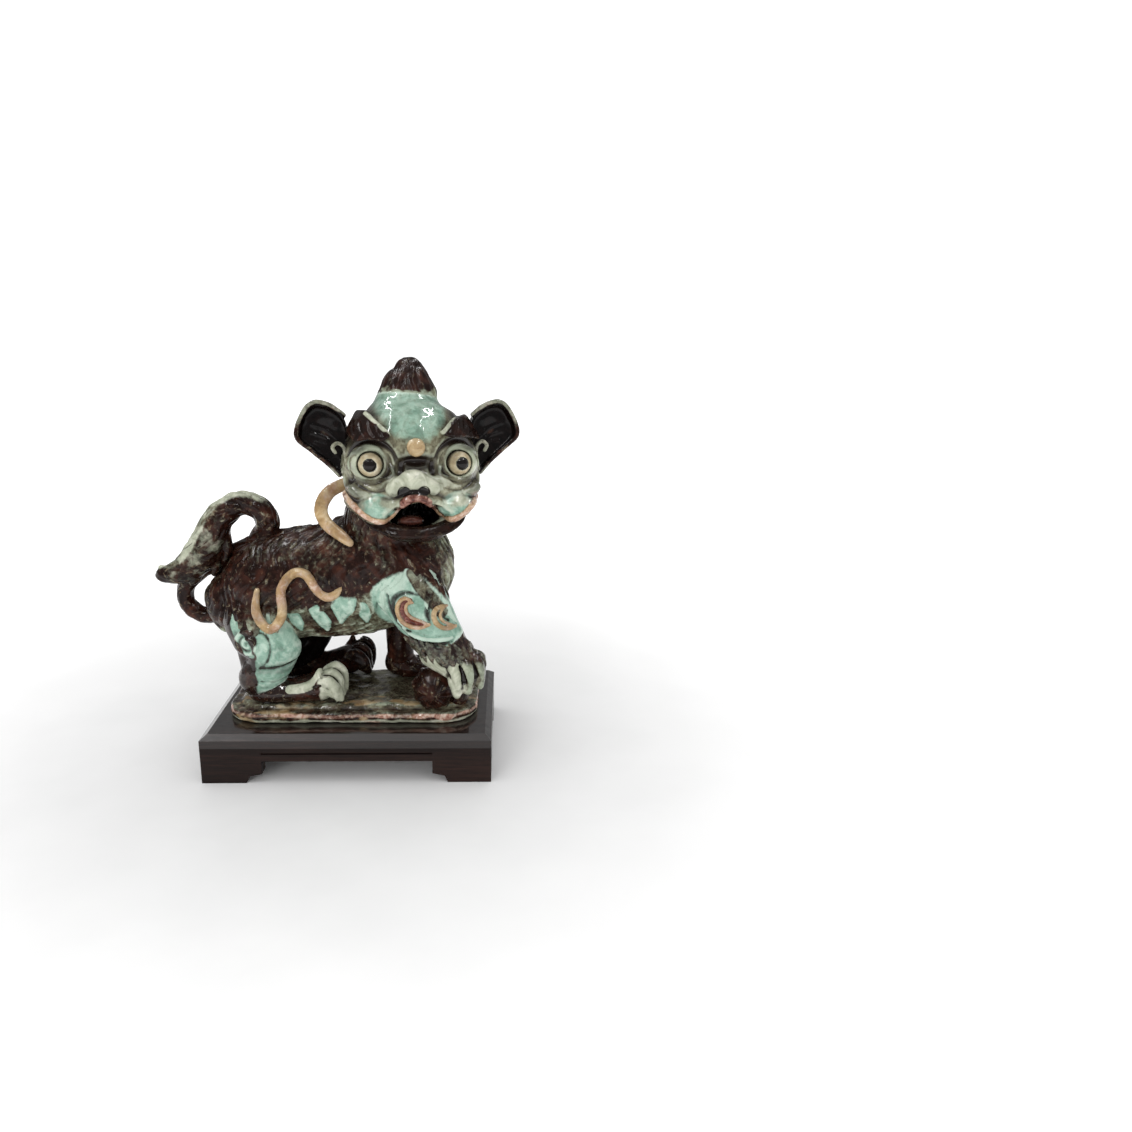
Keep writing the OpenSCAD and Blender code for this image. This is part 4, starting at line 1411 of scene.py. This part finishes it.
def mane_flow(p):
    """Behind the face the mane falls from the crown in waves."""
    wave = np.sin(p[:, 2] / 3.6 + p[:, 0] / 5.0)
    out = np.sign(p[:, 0]) * 0.35 + 0.7 * wave
    return np.stack([out, np.full(len(p), 0.35), np.full(len(p), -1.0)], axis=1)


def sculpt_head():
    block = block_round(HEAD, HEAD_PIECES, 6, HEAD_VOXEL)
    fields, skin = luted(block, HEAD_PIECES, 1.0, 2.4, {"crest_knob": 9.0})
    head, creases, lids = sculpt_eyes_and_lids(block, fields["head"], skin)
    head, lip = sculpt_muzzle(block, head)
    skin = head.copy()
    roots = scatter(block, skin, [-44, 6, -40], [44, 40, 34], 3.2, 4500, lambda p: p[:, 1] > 9, 57)
    lines = comb(block, skin, roots, mane_flow, 7, 1.9)
    mane = lay_locks(block, block.empty(), skin, lines, 1.7, 0.2, 0.5, 58)
    full = melt(head, mane, 0.5)
    roughen(block, full, 0.18, 4.0, 59)

    def paint(local, pressed):
        x, y, z = local.T
        tone = noise(local, 10, 61)
        fur = step(5, 9, y)
        rim = within(block, lip, local, -0.2, 0.5)
        # Painted shade: the mouth gap under the flews is painted near-black.
        mouth = step(-8, -4, -np.hypot(x / 2.6, z + 33)) * step(-33.5, -31.5, y) * (1 - rim)
        arch = step(15, 9, np.abs(x))
        patchy = noise(local, 7, 66)
        high = step(4, 16, z + 12 * tone - 6) * step(16, 3, np.abs(x) - 0.65 * (z - 9) + 8 * tone - 4)
        # Painted shade: near-black under the nose, behind the nostrils.
        philtrum = step(1.3, 0.8, np.hypot((x - NOSE_X) / 8.5, (z + 17) / 3.6)) * step(0, -10, y)
        flews = within(block, flew_field(block), local, 0.0, 4.0)
        proud = step(-0.06, -0.3, pressed)
        face = (1 - fur) * (1 - rim)
        bridge = step(9, 3, np.hypot(x * 0.55, z - 1)) * step(7, 2, z)
        halo = step(1.75, 1.05, np.hypot((x - NOSE_X) / 15, (z + 11) / 8.5))
        crease = within(block, creases, local, -0.6, 1.0)
        lid = within(block, lids, local, -0.2, 1.2)
        orbit = 0.35 * tone * step(13, 10, np.hypot(np.abs(x) - EYE[0], z - EYE[2])) * step(25, 17, np.abs(x))
        temple = step(20, 36, np.abs(x)) * step(2, 12, np.abs(z + 2)) * 0.6
        crown = 0.5 * step(12, 24, np.abs(x)) * step(18, 26, z) + 0.25 * (1 - high) * step(6, 12, z)
        cheeks = (0.25 + 0.3 * proud) * step(14, 6, z) * (0.5 + tone)
        # Painted highlight: pale glaze on the tops of the flews.
        flew_highlight = 0.95 * flews * step(-30, -24, z) * step(0.25, 0.6, tone)
        folds = 0.35 * halo * (1 - flews) + 0.9 * crease + 0.3 * lid + orbit
        gloom = np.clip(0.85 * bridge + temple + crown + folds, 0, 0.92)
        corner = 0.6 * step(28, 35, x) * step(-14, -20, z)
        return bare(
            local,
            aqua=face * np.maximum(0.62 * high, flews * 0.75),
            olive=face * (0.6 + 0.3 * tone),
            pale=face * (1 - lid) * np.maximum(cheeks, flew_highlight),
            rust=(1 - fur) * rim * arch * 0.8,
            cream=(1 - fur) * rim * (1 - 0.8 * arch) * step(0.25, 0.5, patchy),
            blush=(1 - fur) * np.maximum(rim * (0.66 - 0.45 * arch * patchy), corner),
            dark=np.maximum(mouth, philtrum * (1 - rim)),
            shade=np.maximum(face * gloom, 0.45 * rim * patchy),
        )

    piece("head", block, full, "glaze_aqua", paint)
    sculpt_nose(block)
    for side in SIDES:
        sculpt_brow(block, skin, side)
        sculpt_ear(block, fields, side)
        sculpt_eye(block, side)
    sculpt_crest(block, fields)
    sculpt_mouth(block, fields)


def flew_field(block):
    """Where the flews are, for the glaze."""
    field = block.empty()
    for side in SIDES:
        oval(block, field, (side * 22.5, -24.5, -25), (9, 9, 6.5), 0.5)
    return field


def sculpt_eye(block, side):
    """A ball with a shallow ring pressed round its pupil."""
    name = SIDES[side] + "_eye"
    centre = np.array([side * EYE[0], EYE[1], EYE[2]])
    ball = rods(block, [centre, centre + 0.01], EYE_R)
    aim = math.radians(10) * side + 0.06
    look = np.array([math.sin(aim), -math.cos(aim), -0.08])
    look /= np.linalg.norm(look)
    across = np.cross(look, [0, 0, 1])
    up = np.cross(across, look)
    turns = np.linspace(0, math.tau, 25)
    ring = [centre + EYE_R * (0.84 * look + 0.54 * (math.cos(a) * across + math.sin(a) * up)) for a in turns]
    ball = hollow_out(ball, rods(block, ring, 0.75), 0.3)

    def paint(local, pressed):
        way = (local - centre) / np.linalg.norm(local - centre, axis=1, keepdims=True)
        off = np.degrees(np.arccos(np.clip(way @ look, -1, 1)))
        pupil = step(37, 34, off)
        ring = step(24, 29, off)
        return bare(
            local,
            pale=1 - pupil,
            cream=(1 - pupil) * 0.52,
            dark=pupil * (0.62 + 0.38 * ring),
            olive=0.4 * pupil,
            shade=np.maximum(0.8 * step(55, 85, off), pupil * 0.35),
        )

    piece(name, block, ball, "glaze_cream", paint)


def crest_flow(p):
    """On the crest the locks fall from its top, a little to the side."""
    out = p[:, 0] * 0.02 + 0.25 * np.sin(p[:, 2] / 3)
    return np.stack([out, p[:, 1] * 0.02, -np.ones(len(p))], axis=1)


def sculpt_crest(block, fields):
    crest = fields["crest_knob"]
    roots = scatter(block, crest, [-18, -14, 42], [18, 22, 62], 3.4, 900, lambda p: p[:, 2] > 43, 62)
    crest = lay_locks(block, crest, crest, comb(block, crest, roots, crest_flow, 5, 1.9), 1.2, -0.35, 1.0, 63)
    roughen(block, crest, 0.2, 3.0, 64)

    def paint(local, pressed):
        ragged = noise(local, 5, 65) * 11 - 5.5
        skirt = step(44, 40, local[:, 2] + ragged) * step(6, -2, local[:, 1])
        return bare(local, aqua=0.35 * skirt, olive=0.8 * skirt, shade=0.45 - 0.1 * skirt)

    piece("crest_knob", block, crest, "glaze_brown", paint)


def sculpt_mouth(block, fields):
    jaw = fields["lower_jaw"]
    lip = rods(block, curve(LOWER_LIP, 40), 1.5 * swell(40, 0.12, 0.88) ** 0.5)
    jaw = melt(jaw, lip, 1.0)
    roughen(block, jaw, 0.2, 3.0, 66)

    def paint(local, pressed):
        rim = within(block, lip, local, -0.8, 0.0) * step(0.3, 0.6, noise(local, 5, 67))
        return bare(local, blush=0.45 * rim, shade=0.6 * (1 - rim))

    piece("lower_jaw", block, jaw, "glaze_brown", paint)
    tongue = blur(block.nodes("tongue"), 0.8 / block.size)
    middle_line = [(-2, -8, -31.5), (-3, -16, -30.5), (-3, -24, -30.5)]
    tongue = hollow_out(tongue, rods(block, middle_line, 0.8), 0.8)
    roughen(block, tongue, 0.15, 2.5, 68)
    piece("tongue", block, tongue, "glaze_rust",
          lambda p, c: bare(p, rust=np.full(len(p), 0.6), shade=np.full(len(p), 0.6)))
    bead = blur(block.nodes("forehead_bead"), 0.4 / block.size)
    piece("forehead_bead", block, bead, "glaze_cream",
          lambda p, c: bare(p, pale=np.ones(len(p)), cream=np.full(len(p), 0.66)))


# ---- Neck ribbons, ball, rock and plinth ----


def small_pieces():
    for side_name in SIDES.values():
        name = side_name + "_neck_ribbon"
        block = block_round(BODY, [name], 5, RIBBON_VOXEL)
        ribbon = softened(block, name, 0.7, 0.2, 4.0, 71)
        piece(name, block, ribbon, "glaze_cream", all_cream)
    block = block_round(BODY, ["ball", "rock"], 5, BALL_VOXEL)
    ball = blur(block.nodes("ball"), 0.7 / block.size)
    centre = middle("ball") - BODY.origin
    for tilt in (-0.9, -0.2, 0.5, 1.2):
        out = np.array([math.cos(tilt), 0, math.sin(tilt)])
        ring = [centre + 13.3 * (math.sin(a) * out - [0, math.cos(a), 0]) for a in np.linspace(-2.4, 2.4, 22)]
        line = block.settle(ball, ring)
        ball = ridge(block, ball, ball, line, 1.1, 0.1, 0.8)
    roughen(block, ball, 0.7, 6.0, 72)
    piece("ball", block, ball, "glaze_brown", lambda p, c: bare(p, dark=0.3 * noise(p, 6, 73)))
    rock = softened(block, "rock", 0.8, 1.0, 6.0, 74)
    piece("rock", block, rock, "glaze_brown", dark_paint)
    block = block_round(BODY, ["plinth"], 4, PLINTH_VOXEL)
    plinth = blur(block.nodes("plinth"), 1.3 / block.size)
    z = block.whole()[2]
    top = step(34, 39, z)
    everywhere = np.argwhere(np.ones(plinth.shape, bool))
    waves = noise(everywhere.astype(float) * block.size, 13, 75, 4).reshape(plinth.shape)
    plinth = plinth - (top * (waves * 3.2 - 1.9)).astype(np.float32)
    roughen(block, plinth, 0.5, 5.0, 76)
    plinth = np.maximum(plinth, 31.0 - z)

    def paint(local, pressed):
        y, z = local.T[1:]
        tone = noise(local * np.array([0.45, 1, 1]), 8, 77)
        rim = step(38.5, 36.0, z)
        foot = step(34.5, 32.5, z + 3 * noise(local, 9, 80) - 1.5)
        band = step(2.6, 0.8, np.abs(z - 36.5 - 3 * noise(local * np.array([0.3, 0.5, 1]), 9, 78) + 1.5))
        return bare(
            local,
            pale=np.maximum(foot * 0.75, rim * 0.35 * tone),
            olive=(0.25 + 0.5 * tone) * (1 - 0.6 * rim * (1 - foot)),
            blush=rim * band * (0.35 + 0.4 * tone) + 0.6 * rim * step(0.5, 0.65, tone),
            cream=0.6 * step(0.48, 0.66, noise(local * np.array([0.4, 1, 1]), 7, 79)) * step(10, -20, y),
            shade=step(36, 39, z) * (0.42 - 0.4 * step(-4, -26, y) * tone) + 0.3 * rim * (1 - foot),
        )

    piece("plinth", block, plinth, "glaze_rust", paint)


sculpt_body()
sculpt_head()
small_pieces()

for node in ("front_apron", "back_apron", "stand_board", "left_apron", "right_apron"):
    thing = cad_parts[node]
    thing.data.materials.clear()
    along_axis = 1 if node in ("left_apron", "right_apron") else 0
    shine = BOARD_COAT if node == "stand_board" else APRON_COAT
    thing.data.materials.append(wood("wood_" + node, along_axis, shine))
    eased = thing.modifiers.new("eased_edges", "BEVEL")
    eased.width = EASED_EDGE * MM
    eased.segments = 2
    eased.limit_method = "ANGLE"
    eased.angle_limit = math.radians(35)
